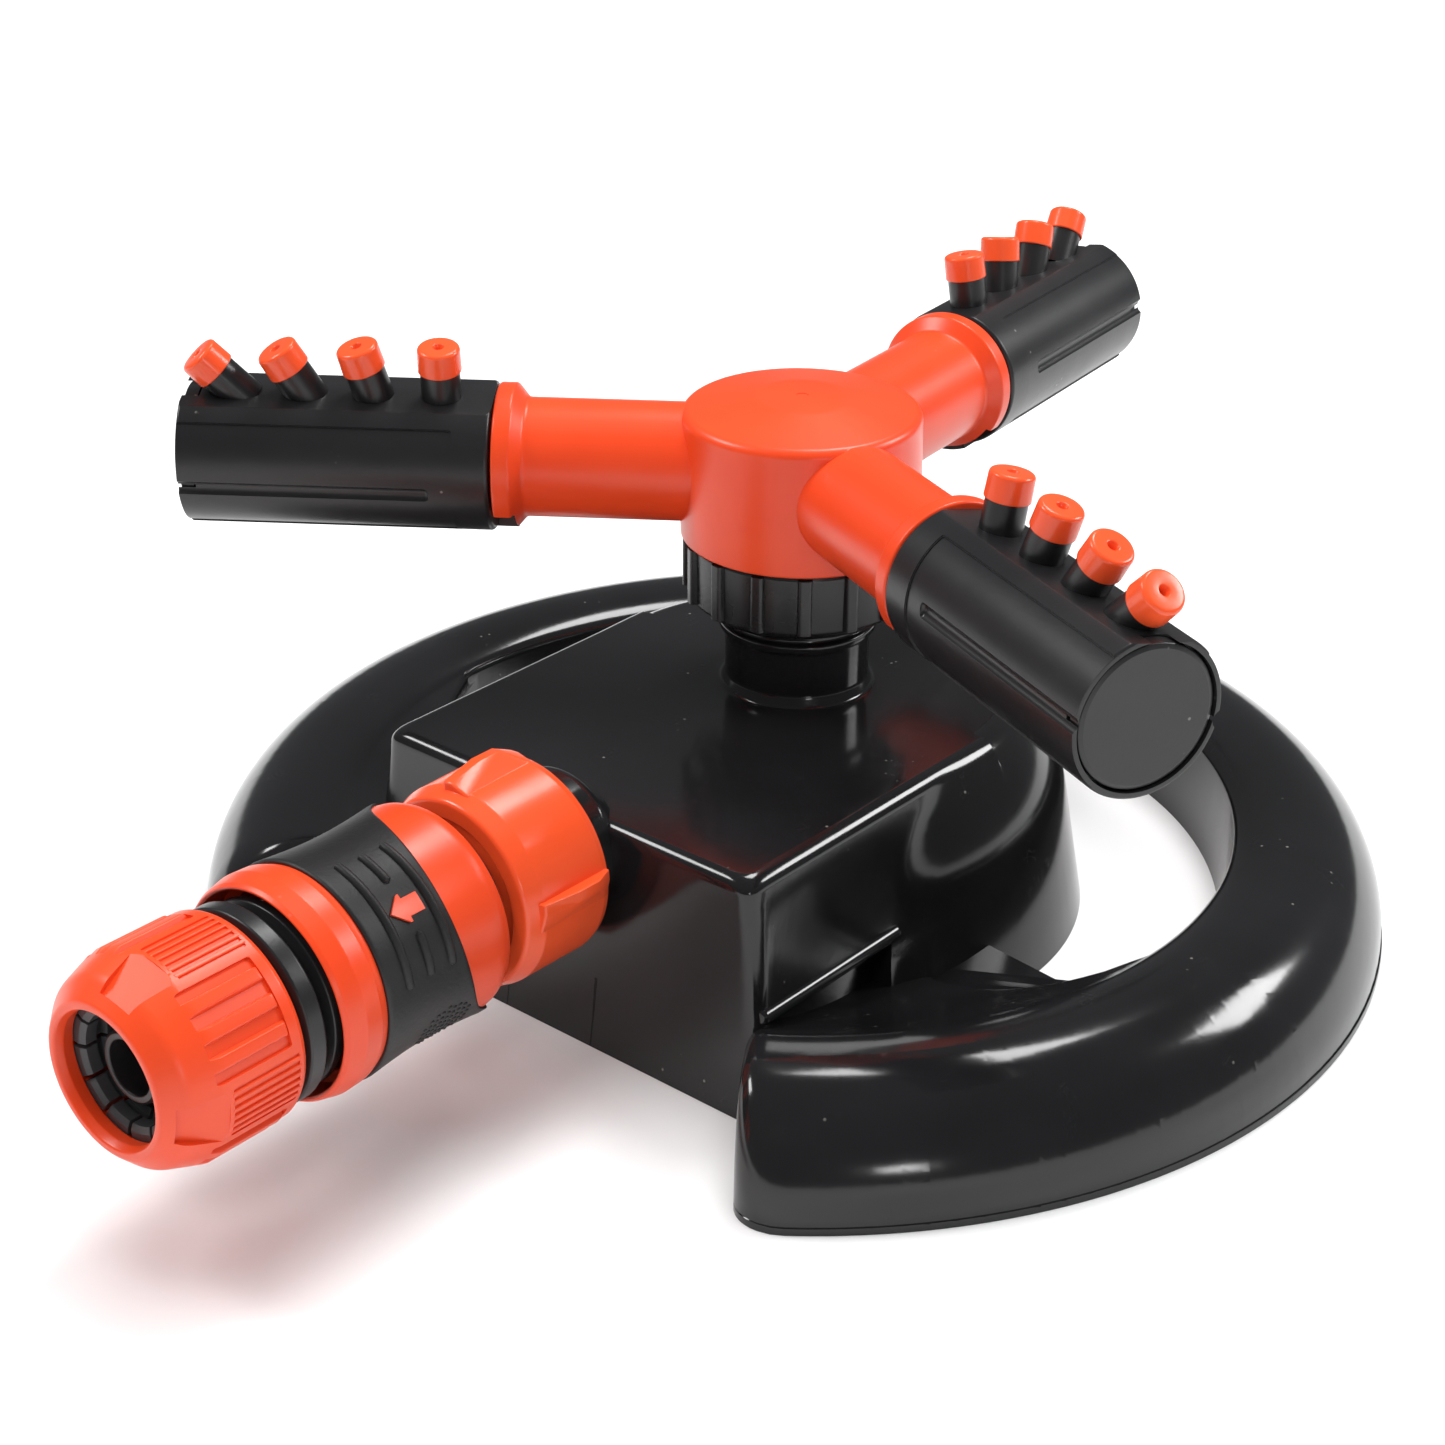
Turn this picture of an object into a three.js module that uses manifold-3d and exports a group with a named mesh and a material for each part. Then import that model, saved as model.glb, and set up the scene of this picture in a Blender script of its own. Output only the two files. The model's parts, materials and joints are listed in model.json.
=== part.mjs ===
// Three-arm rotary lawn sprinkler on a ring base, fed through a quick hose connector.
// Millimetres, +Z up. The origin is on the ground, on the axis that the head spins about.
// The hose end of the connector points to -Y.
import * as THREE from 'three';
import { mergeVertices } from 'three/addons/utils/BufferGeometryUtils.js';
import Module from 'manifold-3d';

const wasm = await Module();
wasm.setup();

// ---------------------------------------------------------------- driving dimensions
const GAP = 0.3; // clearance between pieces that touch or slide
const WALL = 2.5; // moulded wall of the base

const RING = { outer: 106.1, inner: 77.4, crest: 88.5, height: 20.6, lip: 1.5 };
const RING_END = 56; // degrees below +X where the ring is cut for the hose
const OPENING_END = 20; // degrees below +X where the open crescent stops
const RING_SIDES = 36;
const BLOCK = { top: 41.8, halfWidth: 39.8, front: 61.5, draft: 0.079, ledge: 17, step: 1.3 };
const TUB = [[52.6, 0], [49.9, 13.5], [48.4, 23.4], [46.6, 31.5], [44.2, 37.2], [40.6, 41.2], [39, 41.5]];

const RISER = { radius: 12.8, bore: 9, top: 74 };
const INLET = { height: 34.9, radius: 12.2, thread: 13, bore: 8.5, back: 58, shoulder: 66.5, end: 80 };
const CHANNEL = { height: 29.3, radius: 9.6, bore: 7.2, front: 60.5 };

const HUB = { radius: 20.7, bottom: 69.3, edge: 91.6, crown: 93.2 };
const COLLAR = { radius: 20.1, bottom: 56.7, lip: 59.7, ribs: 15 };
const ARM = { height: 81.5, radius: 10.2, bore: 6.5, journal: 9, end: 70 };
const ARM_HEADINGS = [216.7, 336.7, 96.7];
const FLANGE = { start: 46.6, face: 51.6, radius: 12.6, notch: 55.7 };
const BARREL = { start: 52, end: 104.9, radius: 12.8, chamber: 10.8, shoulder: 66.2, flat: 11.5 };
const BARREL_TILT = 10; // degrees that the nozzles lean from upright as the barrels stand
const SPOUT = { radius: 3.35, length: 4.3, first: 60.9, spacing: 11.4, lean: 14, bore: 1.4, count: 4 };
const TIP = { radius: 3.75, height: 4.8, hole: 0.6 };

// The connector's pieces lie along one axis; each is given by its distance from the spin axis.
const NUT3 = { start: 67.5, end: 85.5, radius: 17.1, mouth: 13.4, wings: 6 };
const NIPPLE = { radius: 8.2, bore: 5, end: 104 };
const BODY = { rim: 87.6, rimRadius: 14.6, socket: 8.6, barrel: 11.6, flange: 16.1, thread: 14, end: 149.8 };
const BARB = { radius: 5.9, bore: 4.4 };
const SLEEVE = { start: 89.8, end: 124.6, bore: 15.2 };
const HOSE_NUT = { start: 131, end: 154.3, radius: 17.2, mouth: 10.6, bore: 14.3 };

// ---------------------------------------------------------------- materials
const plastic = (color, roughness) => new THREE.MeshStandardMaterial({ color, roughness, metalness: 0 });
const blackGloss = () => plastic(0x0b0b0c, 0.15);
const blackSatin = () => plastic(0x141414, 0.4);
const blackSoft = () => plastic(0x1c1c1d, 0.75);
const orange = () => plastic(0xee4a1e, 0.35);
const orangeTip = () => plastic(0xf4521f, 0.3);
const rubber = () => plastic(0x101010, 0.85);
const greyAcetal = () => plastic(0x3c4245, 0.5);
const whiteAcetal = () => plastic(0xe6e4dc, 0.4);
const steel = () => new THREE.MeshStandardMaterial({ color: 0xb9bcc0, roughness: 0.3, metalness: 1 });

// ---------------------------------------------------------------- making solids
const rad = THREE.MathUtils.degToRad;

// A closed geometry becomes a solid; faces that point inward are turned round first.
function solid(geometry) {
  const bare = geometry.index ? geometry.clone() : geometry;
  bare.deleteAttribute('normal');
  bare.deleteAttribute('uv');
  const merged = mergeVertices(bare, 1e-4);
  const points = merged.attributes.position;
  const corners = [];
  let volume = 0;
  for (let i = 0; i < merged.index.count; i += 3) {
    const [a, b, c] = [0, 1, 2].map((k) => merged.index.getX(i + k));
    if (a === b || b === c || c === a) continue;
    corners.push(a, b, c);
    const [p, q, r] = [a, b, c].map((n) => new THREE.Vector3().fromBufferAttribute(points, n));
    volume += p.dot(q.cross(r));
  }
  const triVerts = new Uint32Array(volume < 0 ? corners.reverse() : corners);
  const vertProperties = new Float32Array(points.array);
  return new wasm.Manifold(new wasm.Mesh({ numProp: 3, vertProperties, triVerts }));
}

function geometryOf(body) {
  const data = body.getMesh();
  const geometry = new THREE.BufferGeometry();
  geometry.setAttribute('position', new THREE.BufferAttribute(new Float32Array(data.vertProperties), 3));
  geometry.setIndex(new THREE.BufferAttribute(new Uint32Array(data.triVerts), 1));
  geometry.computeVertexNormals();
  return geometry;
}

const join = (...bodies) => bodies.reduce((whole, body) => whole.add(body));
const cut = (whole, ...tools) => tools.reduce((rest, tool) => rest.subtract(tool), whole);

// A profile of [radius, height] turned about Z. It is closed for the caller.
function turned(profile, sides = 26, change = null) {
  const points = profile.map(([r, z]) => new THREE.Vector2(r, z));
  const onAxis = profile[0][0] === 0 && profile.at(-1)[0] === 0;
  if (!onAxis) points.push(points[0].clone());
  const geometry = new THREE.LatheGeometry(points, sides);
  geometry.rotateX(Math.PI / 2);
  if (change) change(geometry);
  return solid(geometry);
}

const rod = (radius, from, to, sides = 20, change = null) =>
  turned([[0, from], [radius, from], [radius, to], [0, to]], sides, change);

const tube = (inner, outer, from, to, sides = 24, change = null) =>
  turned([[inner, from], [outer, from], [outer, to], [inner, to]], sides, change);

// A ring of round section, such as an O-ring.
const cordRing = (radius, section, height, sides = 20) => {
  const profile = [];
  for (let i = 0; i < 5; i += 1) {
    const angle = (i / 5) * Math.PI * 2;
    profile.push([radius + section * Math.cos(angle), height + section * Math.sin(angle)]);
  }
  return turned(profile, sides);
};

// An outline of [x, y] pairs raised from one height to another.
function raised(outline, from, to, change = null) {
  const shape = new THREE.Shape(outline.map(([x, y]) => new THREE.Vector2(x, y)));
  const geometry = new THREE.ExtrudeGeometry(shape, { depth: to - from, bevelEnabled: false });
  geometry.translate(0, 0, from);
  if (change) change(geometry);
  return solid(geometry);
}

function box(width, depth, height, x, y, z, change = null) {
  const geometry = new THREE.BoxGeometry(width, depth, height);
  geometry.translate(x, y, z);
  if (change) change(geometry);
  return solid(geometry);
}

// A part of a tube wall between two angles, in degrees from +X.
function wallSector(inner, outer, fromAngle, toAngle, from, to, steps = 8) {
  const outline = [];
  for (let i = 0; i <= steps; i += 1) {
    const angle = rad(fromAngle + ((toAngle - fromAngle) * i) / steps);
    outline.push([outer * Math.cos(angle), outer * Math.sin(angle)]);
  }
  for (let i = steps; i >= 0; i -= 1) {
    const angle = rad(fromAngle + ((toAngle - fromAngle) * i) / steps);
    outline.push([inner * Math.cos(angle), inner * Math.sin(angle)]);
  }
  return raised(outline, from, to);
}

// Outlines with the same number of points, stacked bottom to top and closed at both ends.
function stacked(levels) {
  const count = levels[0].outline.length;
  const points = [];
  const faces = [];
  for (const { outline, z } of levels) {
    for (const [x, y] of outline) points.push(x, y, z);
  }
  for (let level = 0; level < levels.length - 1; level += 1) {
    for (let i = 0; i < count; i += 1) {
      const a = level * count + i;
      const b = level * count + ((i + 1) % count);
      faces.push(a, b, b + count, a, b + count, a + count);
    }
  }
  const last = (levels.length - 1) * count;
  for (let i = 1; i < count - 1; i += 1) {
    faces.push(0, i + 1, i);
    faces.push(last, last + i, last + i + 1);
  }
  const geometry = new THREE.BufferGeometry();
  geometry.setAttribute('position', new THREE.Float32BufferAttribute(points, 3));
  geometry.setIndex(faces);
  return solid(geometry);
}

const group = new THREE.Group();
group.name = 'sprinkler';

function place(parent, name, body, material) {
  const mesh = new THREE.Mesh(geometryOf(body), material);
  mesh.name = name;
  parent.add(mesh);
  return mesh;
}

// Pieces on a horizontal axis are modelled along +Z with +Y up, then laid along a heading.
function axisGroup(height, heading) {
  const axis = new THREE.Group();
  axis.position.set(0, 0, height);
  axis.rotation.set(Math.PI / 2, 0, rad(heading + 90), 'ZYX');
  group.add(axis);
  return axis;
}

// ---------------------------------------------------------------- base
// Half an ellipse arch over the ring: the inner side is short and the outer side is long.
function ringProfile(offset, floor) {
  const { outer, inner, crest, height, lip } = RING;
  const lean = 3.6;
  const wallTop = height - lean;
  const profile = [[inner + offset, floor], [inner + lean + offset, wallTop - offset]];
  profile.push([crest - 0.7 * (crest - inner - lean - offset), wallTop - offset + 2.5]);
  for (let i = 0; i <= 5; i += 1) {
    const angle = (i / 5) * (Math.PI / 2);
    const r = crest + (outer - 1 - crest - offset) * Math.sin(angle);
    profile.push([r, lip + (height - lip - offset) * Math.cos(angle)]);
  }
  if (offset === 0) profile.push([outer, lip], [outer, floor]);
  else profile.push([outer - 1 - offset, floor]);
  return profile;
}

// The web that ties the ring to the housing rises from the housing to the ring's crest.
function webProfile(offset, floor) {
  const low = 8.8 - offset;
  const rise = RING.height - 8.8;
  const profile = [[30, floor], [30, low]];
  for (let i = 0; i <= 3; i += 1) {
    const t = i / 3;
    profile.push([46 + (RING.crest - 46) * t, low + rise * (t * t * (3 - 2 * t) * 0.55 + t * 0.45)]);
  }
  return profile.concat(ringProfile(offset, floor).slice(4));
}

// The wedge towards -Y between two lines that fall away from +X and -X, with its tip at y.
function frontWedge(degreesBelowX, y) {
  const reach = 300;
  const half = reach / Math.tan(rad(degreesBelowX));
  return raised([[0, y], [-half, y - reach], [half, y - reach]], -5, 60);
}

function ringBody(offset, floor) {
  const tip = (degrees) => offset / Math.cos(rad(degrees));
  const ring = turned(ringProfile(offset, floor), RING_SIDES);
  const frontWeb = turned(webProfile(offset, floor), RING_SIDES)
    .intersect(frontWedge(OPENING_END, -tip(OPENING_END)));
  return cut(join(ring, frontWeb), frontWedge(RING_END, tip(RING_END)));
}

// The housing's plan: straight front and sides, rounded front corners, square back inside the tub.
function blockOutline(halfWidth, front, corner) {
  const outline = [[halfWidth, 3], [-halfWidth, 3]];
  for (let side = 0; side < 2; side += 1) {
    for (let i = 0; i <= 4; i += 1) {
      const angle = Math.PI + side * (Math.PI / 2) + (i / 4) * (Math.PI / 2);
      const cx = (side === 0 ? -1 : 1) * (halfWidth - corner);
      outline.push([cx + corner * Math.cos(angle), -front + corner + corner * Math.sin(angle)]);
    }
  }
  return outline;
}

function blockBody(offset, floor) {
  const { top, halfWidth, front, draft, ledge, step } = BLOCK;
  const level = (z, inset, sideStep) => {
    const spread = (top - Math.max(z, 0)) * draft - inset - offset;
    return { z, outline: blockOutline(halfWidth + spread - sideStep, front + spread, 4) };
  };
  const levels = [level(floor, 0, step), level(ledge - 1.5, 0, step), level(ledge, 0, 0)];
  levels.push(level(top - 3.2 - offset, 0, 0), level(top - 0.9 - offset, 0.9, 0), level(top - offset, 3.2, 0));
  return stacked(levels);
}

function tubBody(offset, floor) {
  const profile = TUB.map(([r, z]) => [r - offset, z > 30 ? z - offset : z]);
  profile[0][1] = floor;
  return turned([[0, floor], ...profile, [0, profile.at(-1)[1]]], 28);
}

const forwards = (height) => (geometry) => {
  geometry.rotateX(Math.PI / 2);
  geometry.translate(0, 0, height);
};
const alongInlet = forwards(INLET.height);
const alongChannel = forwards(CHANNEL.height);

function baseShell() {
  const outside = join(blockBody(0, 0), tubBody(0, 0), ringBody(0, 0));
  const inside = join(blockBody(WALL, -1), tubBody(WALL, -1), ringBody(WALL, -1));
  const { radius, back, shoulder, thread, end, bore } = INLET;
  const boss = turned(
    [[0, back - 1.6], [radius - 3.4, back - 1.2], [radius - 1.4, back], [radius, back + 2],
      [radius, shoulder], [thread, shoulder], [thread, end - 0.8], [thread - 0.8, end], [0, end]],
    24, alongInlet);
  const channelPipe = rod(CHANNEL.radius, 0, CHANNEL.front, 20, alongChannel);
  const foot = turned(
    [[0, 0], [RISER.radius + 1.6, 0], [RISER.radius + 1.6, 4], [RISER.radius, 6],
      [RISER.radius, BLOCK.top - 1], [0, BLOCK.top - 1]], 28);
  const riser = turned(
    [[0, BLOCK.top - 2], [RISER.radius + 2, BLOCK.top - 2], [RISER.radius + 2, BLOCK.top],
      [RISER.radius + 0.7, BLOCK.top + 0.6], [RISER.radius, BLOCK.top + 2],
      [RISER.radius, 61.3], [RISER.radius - 1.6, 61.3], [RISER.radius - 1.6, 63.7],
      [RISER.radius, 63.7], [RISER.radius, 68.8], [RISER.radius - 1.5, 68.8],
      [RISER.radius - 1.5, 71.2], [RISER.radius, 71.2], [RISER.radius, RISER.top - 0.6],
      [RISER.radius - 0.6, RISER.top], [0, RISER.top]], 28);
  const ribs = [-1, 1].map((side) => box(2, 62, 30, side * 26, -34, 29));
  const shell = join(cut(outside, inside), ribs[0].intersect(outside), ribs[1].intersect(outside));
  const water = [
    rod(RISER.bore, -1, RISER.top + 1, 20),
    rod(bore, back + 1, end + 1, 20, alongInlet),
    rod(CHANNEL.bore, 0, CHANNEL.front, 16, alongChannel),
  ];
  return cut(join(shell, boss, channelPipe, foot, riser), ...water);
}
place(group, 'base_shell', baseShell(), blackGloss());

const footPlug = turned(
  [[0, 0], [RISER.bore - GAP, 0], [RISER.bore - GAP, 13], [RISER.bore - 2.5, 13],
    [RISER.bore - 2.5, 3], [0, 3]], 20);
place(group, 'channel_plug', footPlug, blackSatin());

// ---------------------------------------------------------------- riser bearing
const clip = cut(
  tube(RISER.radius - 1.6 + GAP, 15.2, 61.6, 63.4, 20),
  box(6, 8, 6, 0, -14.5, 62.5));
place(group, 'riser_clip', clip, whiteAcetal());
place(group, 'lower_washer', tube(RISER.radius + GAP, 15.2, 60, 61.3, 20), whiteAcetal());
place(group, 'upper_washer', tube(RISER.radius + GAP, 15.2, 63.7, 65, 20), whiteAcetal());
place(group, 'riser_oring', cordRing(RISER.radius - 0.65, 0.6, 70), rubber());

// ---------------------------------------------------------------- head
const headingTurn = (heading) => (geometry) => {
  geometry.rotateX(Math.PI / 2);
  geometry.rotateZ(rad(heading + 90));
  geometry.translate(0, 0, ARM.height);
};

function hubBody() {
  const { radius, bottom, edge, crown } = HUB;
  let body = turned(
    [[0, 60.2], [17.5, 60.2], [17.5, bottom], [radius, bottom], [radius, edge - 1.4],
      [radius - 0.5, edge - 0.3], [radius - 1.6, edge + 0.2], [0, crown]], 24);
  for (const heading of ARM_HEADINGS) {
    const lay = headingTurn(heading);
    body = body.add(turned(
      [[0, 8], [ARM.radius, 8], [ARM.radius, FLANGE.start], [FLANGE.radius, FLANGE.start + 1.8],
        [FLANGE.radius, FLANGE.face], [ARM.journal, FLANGE.face], [ARM.journal, 56],
        [ARM.journal - 1.3, 56], [ARM.journal - 1.3, 58.2], [ARM.journal, 58.2],
        [ARM.journal, 66.3], [ARM.journal - 1, 66.3], [ARM.journal - 1, 68.3],
        [ARM.journal, 68.3], [ARM.journal, ARM.end], [0, ARM.end]], 14, lay));
  }
  for (const heading of ARM_HEADINGS) {
    const lay = headingTurn(heading);
    body = body.subtract(rod(ARM.bore, 6, ARM.end + 1, 12, lay));
    const notch = [];
    for (let i = 0; i <= 6; i += 1) {
      const angle = rad(-90 - FLANGE.notch + (2 * FLANGE.notch * i) / 6);
      notch.push([16 * Math.cos(angle), 16 * Math.sin(angle)]);
    }
    for (let i = 6; i >= 0; i -= 1) {
      const angle = rad(-90 - FLANGE.notch + (2 * FLANGE.notch * i) / 6);
      notch.push([ARM.radius * Math.cos(angle), ARM.radius * Math.sin(angle)]);
    }
    body = body.subtract(raised(notch, FLANGE.start + 1.4, FLANGE.face + 1, lay));
  }
  const chamber = turned(
    [[0, 60], [15.6, 60], [15.6, 65.3], [13.15, 65.3], [13.15, 75], [14.5, 76.5], [14.5, 87],
      [12, 89.2], [0, 89.2]], 20);
  return body.subtract(chamber);
}
place(group, 'hub_body', hubBody(), orange());

function collarNut() {
  const { radius, bottom, lip, ribs } = COLLAR;
  let body = turned(
    [[13.2, bottom], [radius - 2.6, bottom], [radius - 1.2, bottom + 1.4], [radius - 0.9, 69],
      [17.9, 69], [17.9, lip], [13.2, lip]], 26);
  for (let i = 0; i < ribs; i += 1) {
    const turn = (geometry) => geometry.rotateZ((i / ribs) * Math.PI * 2);
    body = body.add(box(1.9, 2.4, 10.2, radius - 0.95, 0, 63.5, turn));
  }
  return body;
}
place(group, 'collar_nut', collarNut(), blackSoft());

// ---------------------------------------------------------------- barrels
const tipHeading = (index) => rad(SPOUT.lean * index);

// Spouts stand on the flat; the first is square to it and each next one leans further outward.
const onSpout = (index) => (geometry) => {
  geometry.rotateX(-Math.PI / 2);
  geometry.rotateX(tipHeading(index));
  geometry.translate(0, BARREL.flat - 1, SPOUT.first + SPOUT.spacing * index);
};

function barrelBody() {
  const { start, end, radius, chamber, shoulder, flat } = BARREL;
  const rounded = 0.8;
  let body = turned(
    [[0, start], [radius - rounded, start], [radius, start + rounded],
      [radius, end - rounded], [radius - rounded, end], [0, end]], 20);
  body = body.subtract(box(40, 6, end - start + 2, 0, flat + 3, (start + end) / 2));
  for (let i = 0; i < SPOUT.count; i += 1) {
    body = body.add(rod(SPOUT.radius, 0, SPOUT.length + 3.2, 10, onSpout(i)));
  }
  body = cut(body,
    rod(ARM.journal + GAP, start - 1, shoulder + 1, 20),
    rod(chamber, shoulder, end - 2.9, 20),
    rod(chamber + 0.9, end - 3, end + 1, 22));
  for (let i = 0; i < SPOUT.count; i += 1) {
    body = body.subtract(rod(SPOUT.bore, -4, SPOUT.length + 5, 5, onSpout(i)));
  }
  const lug = wallSector(ARM.radius + 0.6, radius - 0.1, -105, -75, FLANGE.start + 1.8, start + 2, 3);
  const grooves = [-1, 1].map((side) => box(1, 2.2, 38, side * (radius + 0.1), -1.5, 80.5));
  return cut(body.add(lug), ...grooves);
}

function tipBody(index) {
  const cap = turned(
    [[0, 5.9], [TIP.radius, 5.9], [TIP.radius, 4.9 + TIP.height],
      [TIP.radius - 0.7, 5.6 + TIP.height], [0, 5.6 + TIP.height]], 10);
  const socket = rod(SPOUT.radius + 0.05, 5, SPOUT.length + 3.2 + GAP, 10);
  const hole = rod(TIP.hole, 5, 14, 4);
  const body = cut(cap, socket, hole);
  const geometry = geometryOf(body);
  onSpout(index)(geometry);
  return geometry;
}

ARM_HEADINGS.forEach((heading, arm) => {
  const axis = axisGroup(ARM.height, heading);
  const number = arm + 1;
  place(axis, `arm_oring_${number}`, cordRing(ARM.journal - 0.6, 0.6, 57.1, 16), rubber());
  const journalClip = cut(
    tube(ARM.journal - 1 + GAP, 10.4, 66.6, 68, 16),
    box(5, 6, 4, 0, 10, 67.3));
  place(axis, `journal_clip_${number}`, journalClip, whiteAcetal());

  const rolled = new THREE.Group();
  rolled.rotation.z = -rad(BARREL_TILT);
  axis.add(rolled);
  place(rolled, `barrel_${number}`, barrelBody(), blackSatin());
  const cap = turned(
    [[0, BARREL.end - 2.6], [BARREL.chamber + 0.6, BARREL.end - 2.6],
      [BARREL.chamber + 0.6, BARREL.end - 0.5], [BARREL.chamber, BARREL.end],
      [0, BARREL.end]], 22);
  place(rolled, `end_cap_${number}`, cap, blackSatin());
  for (let i = 0; i < SPOUT.count; i += 1) {
    const tip = new THREE.Mesh(tipBody(i), orangeTip());
    tip.name = `nozzle_${number}_${i + 1}`;
    rolled.add(tip);
  }
});

// ---------------------------------------------------------------- tap adapter
const line = axisGroup(INLET.height, -90);

function tapAdapter() {
  const { start, end, radius, mouth, wings } = NUT3;
  let body = turned(
    [[mouth, start], [radius + 0.1, start], [radius + 0.3, start + 1], [radius, end - 6],
      [radius - 0.6, end - 1.4], [radius - 2, end], [10, end], [10, end + 1],
      [NIPPLE.radius, end + 1], [NIPPLE.radius, 94], [NIPPLE.radius - 1.4, 94],
      [NIPPLE.radius - 1.4, 97], [NIPPLE.radius - 0.6, 97], [NIPPLE.radius - 0.6, 98.6],
      [NIPPLE.radius - 1.8, 98.6], [NIPPLE.radius - 1.8, 101], [NIPPLE.radius - 0.6, 101],
      [NIPPLE.radius - 0.6, NIPPLE.end - 1], [NIPPLE.radius - 1.6, NIPPLE.end],
      [NIPPLE.bore, NIPPLE.end], [NIPPLE.bore, 82.2], [mouth, 82.2]], 20);
  for (let i = 0; i < wings; i += 1) {
    const turn = (geometry) => geometry.rotateZ(((i + 0.25) / wings) * Math.PI * 2);
    body = body.add(raised(
      [[radius - 2, start + 0.6], [radius + 1.1, start + 0.6], [radius + 0.5, start + 10],
        [radius - 1, start + 13.5], [radius - 2, start + 13.5]], -1.6, 1.6,
      (geometry) => {
        geometry.rotateX(Math.PI / 2);
        turn(geometry);
      }));
  }
  return body;
}
place(line, 'tap_adapter', tapAdapter(), orange());
place(line, 'tap_washer', tube(8.6, 12.9, 80.3, 81.9, 20), rubber());
place(line, 'nipple_oring', cordRing(NIPPLE.radius - 1.1, 0.6, 99.8, 16), rubber());

// ---------------------------------------------------------------- quick connector
function connectorBody() {
  const { rim, rimRadius, socket, barrel, flange, thread, end } = BODY;
  let body = turned(
    [[socket, rim + 2], [10.6, rim], [rimRadius - 0.5, rim], [rimRadius, rim + 0.7],
      [rimRadius, rim + 2.6], [12.6, rim + 3.4], [12.6, 104], [barrel + 1.6, 104],
      [barrel + 1.6, 107], [barrel, 107], [barrel, 122.6], [15.2, 122.6],
      [15.2, 124.2], [13.4, 124.8], [13.4, 126.4], [flange, 126.8], [flange, 129.6],
      [thread, 130.2], [thread, 140], [12.2, 141], [BARB.radius + 1.4, 141],
      [BARB.radius + 1.4, 132], [BARB.radius - 0.9, 132], [BARB.radius - 0.9, 136],
      [BARB.radius, 136.1], [BARB.radius - 0.5, 140.4], [BARB.radius, 140.5],
      [BARB.radius - 0.5, 144.8], [BARB.radius, 144.9], [BARB.radius, end - 0.6],
      [BARB.radius - 0.5, end], [BARB.bore, end], [BARB.bore, 112], [6.6, 110],
      [6.6, 105.5], [8.1, 104.5], [8.1, 99], [socket, 98.5]], 18);
  for (const angle of [45, 135, 225, 315]) {
    const turn = (geometry) => geometry.rotateZ(rad(angle));
    body = body.subtract(box(12, 4.6, 4.4, 12, 0, 95.4, turn));
  }
  return body;
}
place(line, 'connector_body', connectorBody(), blackSatin());

// Four claws on a thin ring round the socket; they reach through its windows onto the nipple.
function lockClaw() {
  let body = tube(12.9, 13.9, 94.3, 103.2, 24);
  for (const angle of [45, 135, 225, 315]) {
    body = body.add(wallSector(7.3, 13.2, angle - 9, angle + 9, 94.3, 96.7, 3));
  }
  return body;
}
place(line, 'lock_claw', lockClaw(), greyAcetal());

// Sleeve: orange inner shell with a rear ring and a front band, and a soft cover between them.
const lockSleeve = turned(
  [[SLEEVE.bore - 0.2, SLEEVE.start + 0.6], [17, SLEEVE.start], [17.5, SLEEVE.start + 1.4],
    [17.9, 94.2], [16.7, 94.2], [16.7, 115.2], [18, 115.2], [18.4, 118], [18.3, 121.4],
    [17.7, 123.8], [17.3, SLEEVE.end], [16.7, 123.8], [16.5, 119.4], [SLEEVE.bore, 118],
    [SLEEVE.bore, 108.7], [12, 108.7], [12, 107.3], [SLEEVE.bore, 107.3], [SLEEVE.bore, 96.6],
    [14.3, 95.8], [14.3, 91.6]], 20);
place(line, 'lock_sleeve', lockSleeve, orange());

const gripProfile = [[17, 94.5]];
for (let i = 0; i <= 6; i += 1) {
  const t = i / 6;
  gripProfile.push([18 - 0.85 * Math.sin(Math.PI * t), 94.5 + 20.4 * t]);
}
gripProfile.push([17, 114.9]);
place(line, 'grip_sleeve', turned(gripProfile, 20), blackSoft());

// A coil spring pushes the sleeve towards the tap adapter.
class Helix extends THREE.Curve {
  constructor(radius, from, to, turns) {
    super();
    Object.assign(this, { radius, from, to, turns });
  }

  getPoint(t, target = new THREE.Vector3()) {
    const angle = t * this.turns * Math.PI * 2;
    const z = this.from + (this.to - this.from) * t;
    return target.set(this.radius * Math.cos(angle), this.radius * Math.sin(angle), z);
  }
}
const SPRING = { radius: 13, wire: 0.5, from: 109.6, to: 121.7, turns: 5 };
const wireSection = [];
for (let i = 0; i < 4; i += 1) {
  const angle = (i / 4) * Math.PI * 2;
  wireSection.push(new THREE.Vector2(SPRING.wire * Math.cos(angle), SPRING.wire * Math.sin(angle)));
}
const springCoil = new THREE.ExtrudeGeometry(new THREE.Shape(wireSection), {
  steps: SPRING.turns * 10,
  bevelEnabled: false,
  extrudePath: new Helix(SPRING.radius, SPRING.from, SPRING.to, SPRING.turns),
});
place(line, 'sleeve_spring', solid(springCoil), steel());

// Collet: a ring carrying eight fingers that the nut presses onto the hose.
function hoseCollet() {
  let body = tube(8.4, 11.6, 142.2, 143.4, 16);
  for (let i = 0; i < 8; i += 1) {
    const middle = (i / 8) * 360 + 22.5;
    body = body.add(wallSector(9.6, 11.4, middle - 15, middle + 15, 143, 150.4, 2));
    body = body.add(wallSector(8.6, 9.9, middle - 15, middle + 15, 148.4, 150.4, 2));
  }
  return body;
}
place(line, 'hose_collet', hoseCollet(), greyAcetal());

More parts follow.
